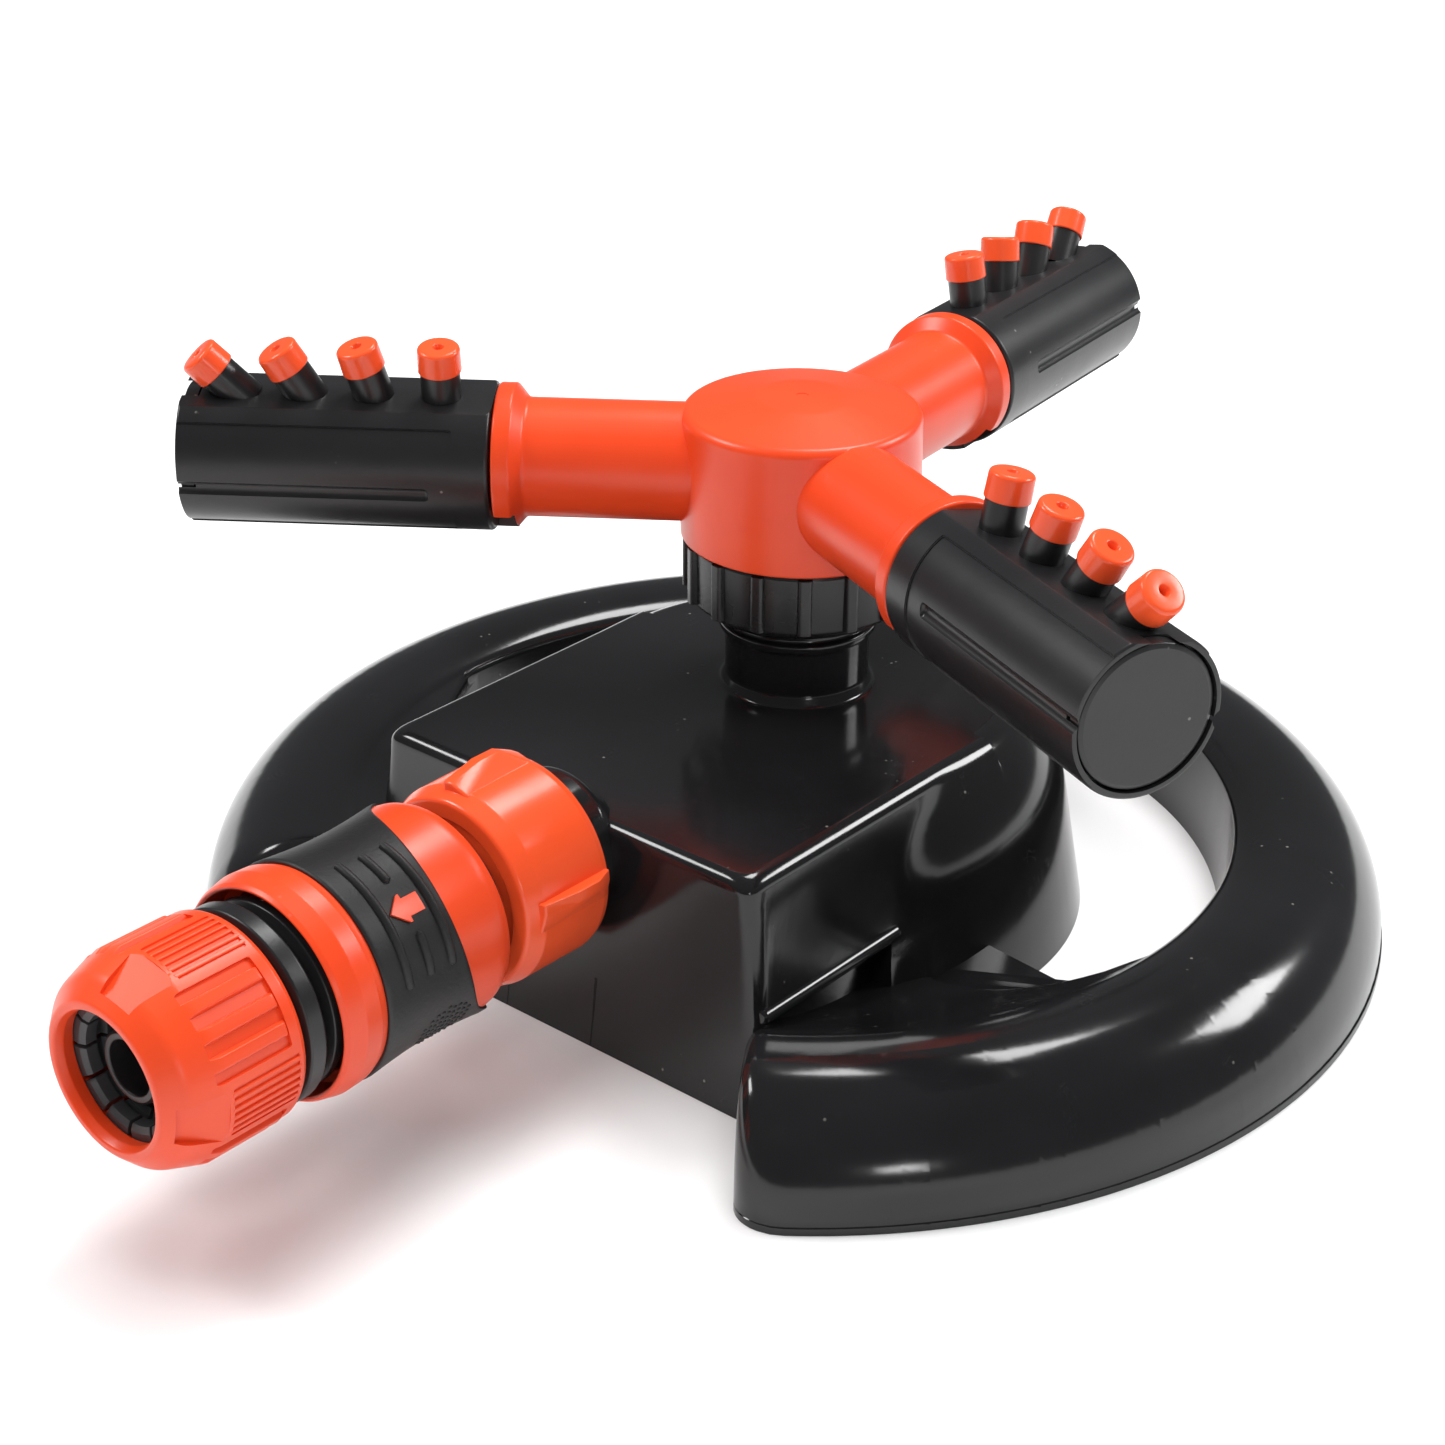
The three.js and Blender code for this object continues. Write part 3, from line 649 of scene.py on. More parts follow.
def swept(name, section, offset, far_end, far_edge):
    """Sweeps a section round from the ring's end to the headings far_end gives at each radius. Both
    ends are rounded over, and the near end's outer corner is rounded in plan as well."""
    crest = max(z for r, z in section)
    outermost = max(r for r, z in section)
    radii = [r for r, z in section]

    def row(headings, near, far):
        drop = max(round_over(RING_END_EDGE, near), round_over(far_edge, far))
        corner = round_over(RING_END_CORNER, near)
        made = []
        for (r, z), heading in zip(section, headings):
            angle = math.radians(heading)
            reach = r - corner * max(r - RING_CREST, 0) / (outermost - RING_CREST)
            made.append((reach * math.cos(angle), reach * math.sin(angle),
                         z * (1 - drop / crest) if z > 0 else z))
        return made

    def turn(distance, radius):
        return math.degrees(distance / radius)

    first = -RING_END + offset * 0.7
    rows = [row([first + turn(near, RING_CREST)] * len(radii), near, far_edge) for near in NEAR_ROWS]
    start = first + turn(NEAR_ROWS[-1], RING_CREST)
    for step in range(1, SWEEP_ROWS):
        headings = [start + (far_end(r) - turn(far_edge, r) - start) * step / SWEEP_ROWS for r in radii]
        rows.append(row(headings, RING_END_CORNER, far_edge))
    for share in FAR_ROWS:
        far = far_edge * share
        rows.append(row([far_end(r) - turn(far, r) for r in radii], RING_END_CORNER, far))
    return capped(name, rows)


def copy_of(obj):
    twin = obj.copy()
    twin.data = obj.data.copy()
    bpy.context.scene.collection.objects.link(twin)
    return twin


def mirrored(obj):
    """A copy of a shape on the other side of the Y axis, with its faces turned outwards."""
    twin = copy_of(obj)
    twin.data.transform(Matrix.Scale(-1, 4, (1, 0, 0)))
    twin.data.flip_normals()
    return twin


print("points in the ring's section:", len(ring_section(0, 0)), "and in the web's:", len(web_section(0, 0)))

# %% [markdown]
# ## Housing and tub
# The block's sides have draft, so that the moulding leaves its tool, and the tub's wall leans in and
# then curves over to a flat top. Joining two solids with a Boolean leaves ragged shading where they
# meet at a shallow angle. Here both are seen from the axis instead: at each height and heading the
# skin lies at whichever is farther, with a soft maximum that fillets the line between them. A
# recess is then cut along the foot of each side, and a bead laid over it.


# %% Housing
OUTLINE_STEPS = 600
FILLET = 2.5


def ray_reach(outline, angle):
    """How far an outline lies from the axis at an angle."""
    out = Vector((math.cos(angle), math.sin(angle)))
    across = Vector((-out.y, out.x))
    farthest = 0
    for (x, y), (u, v) in zip(outline, outline[1:] + outline[:1]):
        a, b = Vector((x, y)), Vector((u, v))
        side_a, side_b = a.dot(across), b.dot(across)
        if side_a * side_b <= 0 and side_a != side_b:
            farthest = max(farthest, a.lerp(b, side_a / (side_a - side_b)).dot(out))
    return farthest


def block_outline(z, inset):
    """The square block's outline at a height, with sharper corners below the ledge."""
    half = BLOCK_HALF + (BLOCK_TOP - max(z, LEDGE)) * SIDE_DRAFT - inset
    front = BLOCK_FRONT + FRONT_SPREAD * (1 - max(z, 0) / BLOCK_TOP) ** 2 - inset
    corner = BLOCK_CORNER if z > LEDGE - 2 else BLOCK_FOOT_CORNER
    return rounded([(half, BLOCK_BACK), (-half, BLOCK_BACK), (-half, -front, corner),
                    (half, -front, corner)], closed=True)


def tub_radius(z, top):
    """The tub's radius at a height, before its top edge is rounded."""
    if z <= SHOULDER_HEIGHT:
        return TUB_FOOT + (TUB_SHOULDER - TUB_FOOT) * max(z, 0) / SHOULDER_HEIGHT
    climb = min((z - SHOULDER_HEIGHT) / (top - SHOULDER_HEIGHT), 1)
    return TUB_SHOULDER - (TUB_SHOULDER - TUB_RIM) * climb * (1 + 2 * climb) / 3


def side_recess(side, offset):
    """The block that is cut from the foot of one side, as a prism turned to lie along the side."""
    front, back, roof = -RECESS_FRONT - offset, -RECESS_BACK + offset, LEDGE + offset
    outline = rounded([(front, -9), (front, roof, 2), (back, roof, 2), (back, -9)], closed=True)
    recess = prism("recess", outline, RECESS_HALF - offset, RECESS_OUT)
    recess.data.transform(Matrix(((0, 0, side, 0), (1, 0, 0, 0), (0, 1, 0, 0), (0, 0, 0, 1))))
    if side < 0:
        recess.data.flip_normals()
    return recess


def housing(offset, floor):
    """The drafted square block and the round tub behind it, as one skin."""
    top = BLOCK_TOP - offset
    straight = top - BLOCK_EDGE
    heights = [floor, 0.01, 6, 13, LEDGE - 1, 20, SHOULDER_HEIGHT]
    heights += [SHOULDER_HEIGHT + (straight - SHOULDER_HEIGHT) * k / 7 for k in range(1, 8)]
    heights += [straight + BLOCK_EDGE * math.sin(math.pi / 2 * k / 8) for k in range(1, 9)]
    rows = []
    for z in heights:
        inset = offset + round_over(BLOCK_EDGE, top - z)
        outline = block_outline(z, inset)
        tub = tub_radius(z, top) - inset
        row = []
        for k in range(OUTLINE_STEPS):
            angle = 2 * math.pi * k / OUTLINE_STEPS
            square = ray_reach(outline, angle)
            overlap = max(FILLET - abs(square - tub), 0) / FILLET
            reach = max(square, tub) + overlap * overlap * FILLET / 4
            row.append((reach * math.cos(angle), reach * math.sin(angle), z))
        rows.append(row)
    return cut(capped("housing", rows), side_recess(-1, offset), side_recess(1, offset))


def forwards(height):
    """From along +Z to along -Y, at a height."""
    return Matrix.Translation((0, 0, height)) @ Matrix.Rotation(math.pi / 2, 4, "X")


def ledge_bead(side):
    """The rounded bead over the recess along one side of the housing."""
    middle = BLOCK_HALF + (BLOCK_TOP - LEDGE) * SIDE_DRAFT - 0.75
    front = RECESS_FRONT + 1.8
    bead = turned("bead", [(0, 26), (1.5, 26, 1.4), (1.5, front, 1.4), (0, front)], 40)
    return moved(bead, Matrix.Translation((side * middle, 0, 0)) @ forwards(LEDGE))


print("housing outline points:", OUTLINE_STEPS, "a level")

# %% [markdown]
# ## Outside and core
# One function builds the whole outline of the base, once at full size and once a wall's thickness
# smaller. The smaller one starts below the ground, so that cutting it away leaves the foot open.


# %% Join the shell
def outside(offset, floor):
    def ring_end(radius):
        return RING_BACK

    def web_end(radius):
        return -between(WEB_ENDS, radius) - offset * 1.4

    ring = swept("ring", ring_section(offset, floor), offset, ring_end, 0.01)
    web = swept("web", web_section(offset, floor), offset, web_end, WEB_EDGE)
    return joined(housing(offset, floor), ring, mirrored(ring), web, mirrored(web))


base = cut(joined(outside(0, 0), ledge_bead(-1), ledge_bead(1)), outside(WALL, -1))
print("shell faces:", len(base.data.polygons))

# %% [markdown]
# ## Riser, boss and water way
# The riser stands through the tub with a foot flange, two rings outside and two grooves for the
# clip and the seal. The inlet's boss is a turned stub on the front. A channel joins them under the
# top. Two thin slits in the front face mark where the tool's inserts met.

# %% Riser, boss and bores
CHANNEL_HEIGHT, CHANNEL_RADIUS, CHANNEL_BORE, CHANNEL_END = 29.3, 9.6, 7.2, 60.5
BOSS_START, BOSS_END, INLET_BORE, RISER_BORE = 55.8, 79, 8.5, 9
SLIT_PLACE, SLIT_TOP = 9.6, 26
boss = moved(turned("boss", [
    (0, BOSS_START), (9.4, BOSS_START + 0.6, 3), (12.2, 60.5, 3), (12.2, 66.5, 0.5), (11.2, 67.2),
    (11.2, BOSS_END), (0, BOSS_END)]), forwards(LINE_HEIGHT))
riser = turned("riser", [
    (0, 0), (14.4, 0), (14.4, 4, 1), (12.6, 6, 1), (12.6, BLOCK_TOP - 3), (16, BLOCK_TOP - 3),
    (16, BLOCK_TOP), (13.4, BLOCK_TOP + 0.2, 1), (12.6, BLOCK_TOP + 2.2, 2), (12.7, 51.6, 0.8),
    (13.8, 52.2, 0.5), (13.8, 53.4, 0.5), (13.0, 54, 0.8), (12.8, 61.3), (11.2, 61.3), (11.2, 63.7),
    (12.8, 63.7), (12.8, 68.8), (11.3, 68.8), (11.3, 71.2), (12.8, 71.2), (12.8, RISER_TOP, 0.6),
    (0, RISER_TOP)])
base = joined(base, boss, riser, moved(rod("pipe", CHANNEL_RADIUS, 0, 60, 64), forwards(CHANNEL_HEIGHT)))
base = cut(base, rod("riser_bore", RISER_BORE, -1, 90, 64),
           moved(rod("inlet_bore", INLET_BORE, 59, 90, 64), forwards(LINE_HEIGHT)),
           moved(rod("channel", CHANNEL_BORE, 0, CHANNEL_END, 48), forwards(CHANNEL_HEIGHT)))
for place in (-SLIT_PLACE, SLIT_PLACE):
    slit = prism("slit", [(place - 0.12, 0), (place + 0.12, 0), (place + 0.5, SLIT_TOP),
                          (place - 0.5, SLIT_TOP)], -BLOCK_FRONT - 8, -BLOCK_FRONT - 1.6)
    base = cut(base, moved(slit, Matrix.Rotation(math.pi / 2, 4, "X") @ Matrix.Scale(-1, 4, (0, 0, 1))))
finish_piece(base, "base_moulding", UPRIGHT, BASE_BLACK, "base", ["base_shell"])
print("base faces:", pieces_made[-1][1])

# %% [markdown]
# ## The head
# The hub is a low drum with three arms. Each arm widens to a flange that the barrel runs against,
# and the flange's lower half is cut back to leave room for the barrel's stop. Drum and arms are
# turned solids joined together, as the real one is a single moulding, and the chamber and the
# arms' bores are cut last, so that they meet inside.

# %% Hub
ARM_RADIUS, FLANGE_START, FLANGE_FACE, FLANGE_RADIUS, JOURNAL = 10.2, 46.6, 51.6, 12.6, 9
ARM_BORE, HUB_RADIUS, NOTCH_HALF = 6.5, 20.7, 55.7
hub_top = span("hub_body", 2)[1]
drum = turned("drum", [
    (0, 60.2), (17.4, 60.2), (17.4, 69.3), (HUB_RADIUS - 0.2, 69.3, 0.4), (HUB_RADIUS, 80),
    (HUB_RADIUS - 0.2, 91.7, 1.7), (8, hub_top - 0.25, 12), (0, hub_top)])
arms = []
notches = []
for heading in HEADINGS:
    lay = laid(heading, ARM_HEIGHT)
    arms.append(moved(turned("arm", [
        (0, 6), (ARM_RADIUS, 6), (ARM_RADIUS, FLANGE_START, 1), (FLANGE_RADIUS, FLANGE_START + 2.0, 0.7),
        (FLANGE_RADIUS, FLANGE_FACE, 0.5), (JOURNAL, FLANGE_FACE), (JOURNAL, 56), (7.7, 56), (7.7, 58.2),
        (JOURNAL, 58.2), (JOURNAL, 66.3), (8, 66.3), (8, 68.3), (JOURNAL, 68.3), (JOURNAL, 70, 0.4),
        (0, 70)]), lay))
    notch = arc_band(16, ARM_RADIUS, -90, NOTCH_HALF, 24)
    notches.append(moved(prism("notch", notch, FLANGE_START + 1.4, FLANGE_FACE + 1), lay))
    notches.append(moved(rod("arm_bore", ARM_BORE, 2, 72, 48), lay))
chamber = turned("chamber", [(0, 60), (15.6, 60), (15.6, 65.3), (13.15, 65.3), (13.15, 75), (14.5, 76.5),
                             (14.5, 87), (12, 89.2), (0, 89.2)], 72)
hub = cut(joined(drum, *arms), chamber, *notches)
hub = cut(hub, rod("gate_mark", 1.1, hub_top - 0.12, hub_top + 1, 24))
finish_piece(hub, "hub_moulding", UPRIGHT, ORANGE, "head", ["hub_body"])
print("hub faces:", pieces_made[-1][1])

# %% [markdown]
# ## The collar nut
# A black nut with fifteen upright ribs holds the hub on the riser. An Array modifier round an empty
# could repeat the rib, but the copying tree does the same in one call and leaves no helpers behind.

# %% Collar
collar_low, collar_high = span("collar_nut", 2)
collar = turned("collar", [
    (13.3, collar_low), (17.2, collar_low, 0.6), (19.0, collar_low + 1.6, 0.8),
    (19.2, collar_high - 0.8, 0.6), (18.9, collar_high), (17.9, collar_high), (17.9, 59.7), (13.3, 59.7)])
rib_outline = rounded([(18.6, -1.35), (20.15, -1.0, 0.6), (20.15, 1.0, 0.6), (18.6, 1.35)], closed=True)
rib = prism("rib", rib_outline, collar_low + 1.9, collar_high - 0.4)
collar = joined(collar, copies_round(rib, 15))
finish_piece(collar, "hub_collar", UPRIGHT, COLLAR_BLACK, "head", ["collar_nut"])
print("collar faces:", pieces_made[-1][1])

# %% [markdown]
# ## Nozzle barrels
# A barrel is a tube with one flat side for the nozzles. A shallow panel with a long groove runs
# down each flank, and four spouts stand on the flat, each leaning further out than the last. The
# shape is made once along +Z with the flat up, and laid on each arm. The panels follow the tube,
# so they are cut with plates that are bent round it: a flat cutter would sink in deeper at its
# middle than at its sides.

# %% Barrel sizes
BARREL_START, BARREL_END, BARREL_RADIUS, FLAT = 52, 104.9, 12.8, 11.5
CHAMBER, SHOULDER = 10.8, 66.2
SPOUT_RADIUS, SPOUT_LENGTH = 3.35, 4.3
SPOUT_FIRST, SPOUT_SPACING, SPOUT_LEAN = 60.9, 11.4, 14
PANEL, GROOVE, GROOVE_AXIS = (49, -57), -3, 13.2
PANEL_STEPS = ((58.2, 0.9, 0.12), (58.4, 0, 0.3))


def on_spout(index):
    """From along +Z to along a spout, counted from the hub."""
    lean = math.radians(SPOUT_LEAN * index)
    place = Matrix.Translation((0, FLAT - 1, SPOUT_FIRST + SPOUT_SPACING * index))
    return place @ Matrix.Rotation(lean, 4, "X") @ Matrix.Rotation(-math.pi / 2, 4, "X")


def wrapped(name, outline, inner, outer, finest=1.2):
    """A plate bent round Z. The outline is (angle in degrees, distance along Z); inner and outer give
    its radius at a distance."""
    bm = bmesh.new()
    face = bm.faces.new([bm.verts.new((a, z, 0)) for a, z in outline])
    bmesh.ops.triangulate(bm, faces=[face])
    for axis, spacing in ((0, 3.0), (1, finest)):
        low = min(p[axis] for p in outline)
        high = max(p[axis] for p in outline)
        cuts = int((high - low) / spacing)
        for k in range(1, cuts + 1):
            place = low + (high - low) * k / (cuts + 1)
            along = (place, 0, 0) if axis == 0 else (0, place, 0)
            facing = (1, 0, 0) if axis == 0 else (0, 1, 0)
            everything = bm.verts[:] + bm.edges[:] + bm.faces[:]
            bmesh.ops.bisect_plane(bm, geom=everything, plane_co=along, plane_no=facing)
    grown = bmesh.ops.extrude_face_region(bm, geom=bm.faces[:])
    top = {v for v in grown["geom"] if isinstance(v, bmesh.types.BMVert)}
    for v in bm.verts:
        a, z = math.radians(v.co.x), v.co.y
        radius = outer(z) if v in top else inner(z)
        v.co = (radius * math.cos(a), radius * math.sin(a), z)
    return new_object(name, bm)


def steady(radius):
    """A radius that is the same at every distance."""
    def at(distance):
        return radius
    return at


print("barrel length in millimetres:", round(BARREL_END - BARREL_START, 1))


# %% One barrel
def barrel_shape():
    barrel = turned("barrel", [(0, BARREL_START), (BARREL_RADIUS, BARREL_START, 0.7),
                               (BARREL_RADIUS, BARREL_END, 0.5), (0, BARREL_END)])
    slab = rounded([(-20, FLAT, 0), (20, FLAT), (20, FLAT + 8), (-20, FLAT + 8)], closed=True)
    barrel = cut(barrel, prism("slab", slab, BARREL_START - 1, BARREL_END + 1))
    spout = [(0, -1.2), (SPOUT_RADIUS + 0.1, -1.2), (SPOUT_RADIUS, SPOUT_LENGTH + 3.2),
             (0, SPOUT_LENGTH + 3.2)]
    spouts = [moved(turned("spout", spout, 48), on_spout(index)) for index in range(4)]
    barrel = joined(barrel, *spouts)
    cuts = []
    for side in (1, -1):
        for start, grow, depth in PANEL_STEPS:
            corners = [(PANEL[0] + grow, BARREL_END + 1), (PANEL[0] + grow, start, 1.3),
                       (PANEL[1] - grow, start, 1.3), (PANEL[1] - grow, BARREL_END + 1)]
            panel = [(90 - side * (90 - angle), z, *rest) for angle, z, *rest in corners]
            cuts.append(wrapped("panel", rounded(panel, closed=True), steady(BARREL_RADIUS - depth),
                                steady(14), 6))
        groove = turned("groove", [(0, 62.2), (1.5, 62.2, 1.4), (1.5, 108), (0, 108)], 32)
        groove_place = Matrix.Translation(polar(GROOVE_AXIS, 90 - side * (90 - GROOVE)))
        cuts.append(moved(groove, groove_place))
    cuts.append(rod("journal_hole", 9.3, 51, 67.2, 72))
    cuts.append(rod("chamber", CHAMBER, SHOULDER, 102, 72))
    cuts.append(rod("disc_seat", 11.75, 101.9, 106, 96))
    cuts += [moved(rod("jet", 1.4, -4, 9, 16), on_spout(index)) for index in range(4)]
    return joined(cut(barrel, *cuts), prism("lug", arc_band(12.7, 10.8, -90, 15, 8), 48.4, 54))


def tip_shape():
    """A nozzle's orange tip, pushed over a spout, with a dished jet hole."""
    tip = turned("tip", [(0, 5.9), (3.72, 5.9, 0.25), (3.62, 10.4, 0.7), (0.95, 10.42, 0.25),
                         (0.8, 10.0, 0.2), (0, 10.0)], 56)
    jet_hole = turned("jet_hole", [(0, 5), (0.6, 5), (0.6, 9.3), (0.95, 10.6), (0, 10.6)], 24)
    return cut(tip, rod("socket", 3.4, 5, SPOUT_LENGTH + 3.5, 40), jet_hole)


barrel_pattern = barrel_shape()
tip_pattern = tip_shape()
disc_pattern = turned("disc", [
    (0, 102.3), (11.4, 102.3), (11.4, 104.5, 0.35), (10.6, 104.75, 0.2), (0, 104.7)], 96)
print("barrel faces:", len(barrel_pattern.data.polygons), "tip faces:", len(tip_pattern.data.polygons))

# %% [markdown]
# ## Three of each
# The three barrels are the same part, so one pattern is copied to each arm and turned a little
# about it. Linked copies would save memory, but each barrel is its own piece here, with its own
# mesh, so that it can be turned on its own.

# %% Barrels, end discs and tips
for number, heading in enumerate(HEADINGS, 1):
    body = f"barrel_unit_{number}"
    lay = laid(heading, ARM_HEIGHT, -BARREL_TILT)
    finish_piece(copy_of(barrel_pattern), f"barrel_shell_{number}", lay, SATIN_BLACK, body,
                 [f"barrel_{number}"])
    finish_piece(copy_of(disc_pattern), f"barrel_disc_{number}", lay, SATIN_BLACK, body,
                 [f"end_cap_{number}"])
    for index in range(4):
        finish_piece(copy_of(tip_pattern), f"tip_{number}_{index + 1}", lay @ on_spout(index),
                     TIP_ORANGE, body, [f"nozzle_{number}_{index + 1}"])
for pattern in (barrel_pattern, tip_pattern, disc_pattern):
    bpy.data.objects.remove(pattern)
print("pieces so far:", len(pieces_made))

# %% [markdown]
# ## The connector's orange nut
# The nut that screws on the inlet is a plain cup with four wedge-shaped wings to grip it by. Each
# wing has one steep side and one long one. It could be a box with its corners dragged, but the hull
# of a few points is as quick and keeps its corners in the script. A bevel then takes its edges off.

# %% Tap nut
def hull(name, points):
    bm = bmesh.new()
    for x, y, z in points:
        bm.verts.new((x, y, z))
    bmesh.ops.convex_hull(bm, input=bm.verts)
    loose = [v for v in bm.verts if not v.link_faces]
    bmesh.ops.delete(bm, geom=loose, context="VERTS")
    return new_object(name, bm)


def softened(obj, width, steps=3, angle=25):
    """Rounds an object's edges by a width."""
    edge = obj.modifiers.new("round", "BEVEL")
    edge.width = width
    edge.segments = steps
    edge.limit_method = "ANGLE"
    edge.angle_limit = math.radians(angle)
    return baked(obj)


TAP_START = along_line("tap_washer")[0] - 12.8
TAP_END = TAP_START + 18
WING_EDGES = ((0.5, 17.8), (4.6, 19.6), (9, 19.6), (15.6, 18.2))
tap_nut = turned("tap_nut", [
    (13.4, TAP_START), (16.9, TAP_START, 0.6), (17.3, TAP_START + 1.5, 1), (17.15, TAP_END - 3.4, 2),
    (16.0, TAP_END - 0.2, 1.0), (13.2, TAP_END, 0.3), (12.6, TAP_END - 0.7, 0.3), (10, TAP_END - 0.6),
    (10, TAP_END + 1), (8.2, TAP_END + 1.2, 0.3), (8.2, 94), (6.8, 94), (6.8, 97), (7.6, 97),
    (7.6, 98.6), (6.4, 98.6), (6.4, 101), (7.6, 101), (7.6, 103, 0.5), (6.6, 104), (5, 104),
    (5, 82.2), (13.4, 82.2)])
wing_points = []
for along, edge in WING_EDGES:
    for radius, degrees in ((15.5, 7), (15.5, -9), (edge, 6.5), (edge - 0.1, 1), (16.95, -11)):
        wing_points.append(polar(radius, degrees, TAP_START + along))
wing = softened(hull("wing", wing_points), 0.35)
tap_nut = joined(tap_nut, copies_round(wing, 4, start=5))
finish_piece(tap_nut, "tap_nut", ON_LINE, TIP_ORANGE, "base", ["tap_adapter"])
print("tap nut faces:", pieces_made[-1][1])

# %% [markdown]
# ## The quick connector
# A black body runs through the whole connector, from the socket for the tap nut's spigot to the
# barbed tail that the hose is pushed on. It is one turned profile, inside and outside, because
# everything on it is round except the four windows for the claw.

# %% Connector body
BODY_START, BODY_END = along_line("connector_body")
coupling = turned("coupling", [
    (8.6, 89.6), (10.6, BODY_START, 0.3), (14.4, BODY_START, 0.7), (14.6, 89.9, 0.4), (12.6, 90.8),
    (12.6, 104), (13.2, 104), (13.2, 107), (11.6, 107), (11.6, 122.6), (15.2, 122.6, 0.3),
    (15.2, 124.2, 0.4), (13.4, 125.0, 0.4), (13.4, 126.3, 0.4), (16.1, 126.6, 0.5), (16.1, 129.6, 0.5),
    (14.0, 130.3, 0.3), (14, 140), (12.2, 141), (7.3, 141), (7.3, 132), (5.0, 132), (5.0, 136),
    (5.9, 136.2, 0.1), (5.4, 140.4), (5.9, 140.6, 0.1), (5.4, 144.8), (5.9, 145, 0.1),
    (5.9, 149.2, 0.5), (5.4, BODY_END, 0.3),
    (4.4, BODY_END, 0.3), (4.4, 112), (6.6, 110), (6.6, 105.5), (8.1, 104.5), (8.1, 99), (8.6, 98.5)])
windows = prism("window", [(7, -2.3), (18, -2.3), (18, 2.3), (7, 2.3)], 93.2, 97.6)
coupling = cut(coupling, copies_round(windows, 4, start=45))
finish_piece(coupling, "coupling_body", ON_LINE, SATIN_BLACK, "connector", ["connector_body"])
print("coupling faces:", pieces_made[-1][1])

# %% [markdown]
# ## The release sleeve
# An orange sleeve slides on the body, with a waist that a soft cover fills. The waist is a formula
# and not a fillet, because the cover, its bars, its arrows and its dots all have to follow it.

# %% Sleeve
SLEEVE_START, SLEEVE_END = along_line("lock_sleeve")
GRIP_START, GRIP_END = SLEEVE_START + 1.4, SLEEVE_END - 8.4
PATTERN_TURN = 44


def waist(distance):
    """The sleeve's radius under its cover."""
    return 17.6 - 0.8 * math.sin(math.pi * (distance - GRIP_START) / (GRIP_END - GRIP_START))


waist_profile = []
for step in range(25):
    distance = GRIP_START + (GRIP_END - GRIP_START) * step / 24
    waist_profile.append((waist(distance) + (0.3 if 0 < step < 24 else 0), distance))
sleeve = turned("sleeve", [(15.0, SLEEVE_START + 0.6, 0.2), (16.9, SLEEVE_START, 0.6)] + waist_profile + [
    (18.2, GRIP_END + 1.6, 1.0), (18.35, GRIP_END + 4.6, 1.5), (17.7, SLEEVE_END - 0.9, 0.6),
    (17.2, SLEEVE_END, 0.4), (16.7, SLEEVE_END - 0.5, 0.3),
    (16.5, 119.4), (15.2, 118), (15.2, 108.7), (12, 108.7), (12, 107.3), (15.2, 107.3), (15.2, 96.6),
    (14.3, 95.8), (14.3, 91.6)])
finish_piece(sleeve, "release_sleeve", ON_LINE, ORANGE, "sleeve", ["lock_sleeve"])
print("sleeve faces:", pieces_made[-1][1])

# %% [markdown]
# ## The soft cover
# A soft black cover is moulded over the sleeve's waist. Its front edge swings back round two orange
# crescents. A Boolean could cut them out of a tube, but the edge is crisper when each line of the
# skin simply starts where the edge is at that angle.


# %% Soft cover
CRESCENT_MIDDLE, CRESCENT_HALF, CRESCENT_DEPTH = 40, 84, 9.2
COVER_COLUMNS, COVER_STEPS = 240, 34


def cover_front(degrees):
    """How far the cover's front edge stands back, deepest at the two crescents' middles."""
    away = abs((degrees - CRESCENT_MIDDLE + 90) % 180 - 90)
    if away >= CRESCENT_HALF:
        return GRIP_START + 0.1
    bend = math.cos(math.radians(away * 90 / CRESCENT_HALF)) ** 0.55
    return GRIP_START + 0.1 + CRESCENT_DEPTH * bend


def cover_skin():
    rows = [[] for _ in range(COVER_STEPS + 7)]
    for k in range(COVER_COLUMNS):
        degrees = 360 * k / COVER_COLUMNS
        front = cover_front(degrees)
        line = [(waist(front) - 0.1, front), (waist(front) + 0.42, front),
                (waist(front) + 0.62, front + 0.22)]
        for step in range(COVER_STEPS + 1):
            distance = front + 0.5 + (GRIP_END - front - 1.0) * step / COVER_STEPS
            line.append((waist(distance) + 0.7, distance))
        line += [(waist(GRIP_END) + 0.6, GRIP_END - 0.18), (waist(GRIP_END) + 0.4, GRIP_END),
                 (waist(GRIP_END) - 0.1, GRIP_END)]
        for row, (radius, distance) in zip(rows, line):
            row.append(polar(radius, degrees, distance))
    return grid_shell("cover", rows, wrap_rows=True)


cover = cover_skin()
print("cover faces before its bars:", len(cover.data.polygons))

# %% [markdown]
# ## Bars, arrows and thumb dots
# The cover carries raised bars either side of an arrow, twice, and between the two a patch of dots
# for the thumb, also twice. The bars are joined to the cover. The arrows have the sleeve's orange,
# so they are a piece of their own, and the dots are small enough to stay loose shapes in one piece.


# %% Raised pattern
BAR_WIDTH, BAR_HEIGHT, BAR_SIDES = 1.6, 0.8, 12
BARS = ((-37, 37, 102.5), (-37, 37, 111.6), (14.5, 36.5, 107), (-36.5, -12.5, 107))
DOT_ROWS, DOT_SPACING, DOT_MIDDLE = range(-4, 5), 1.15, 102.6


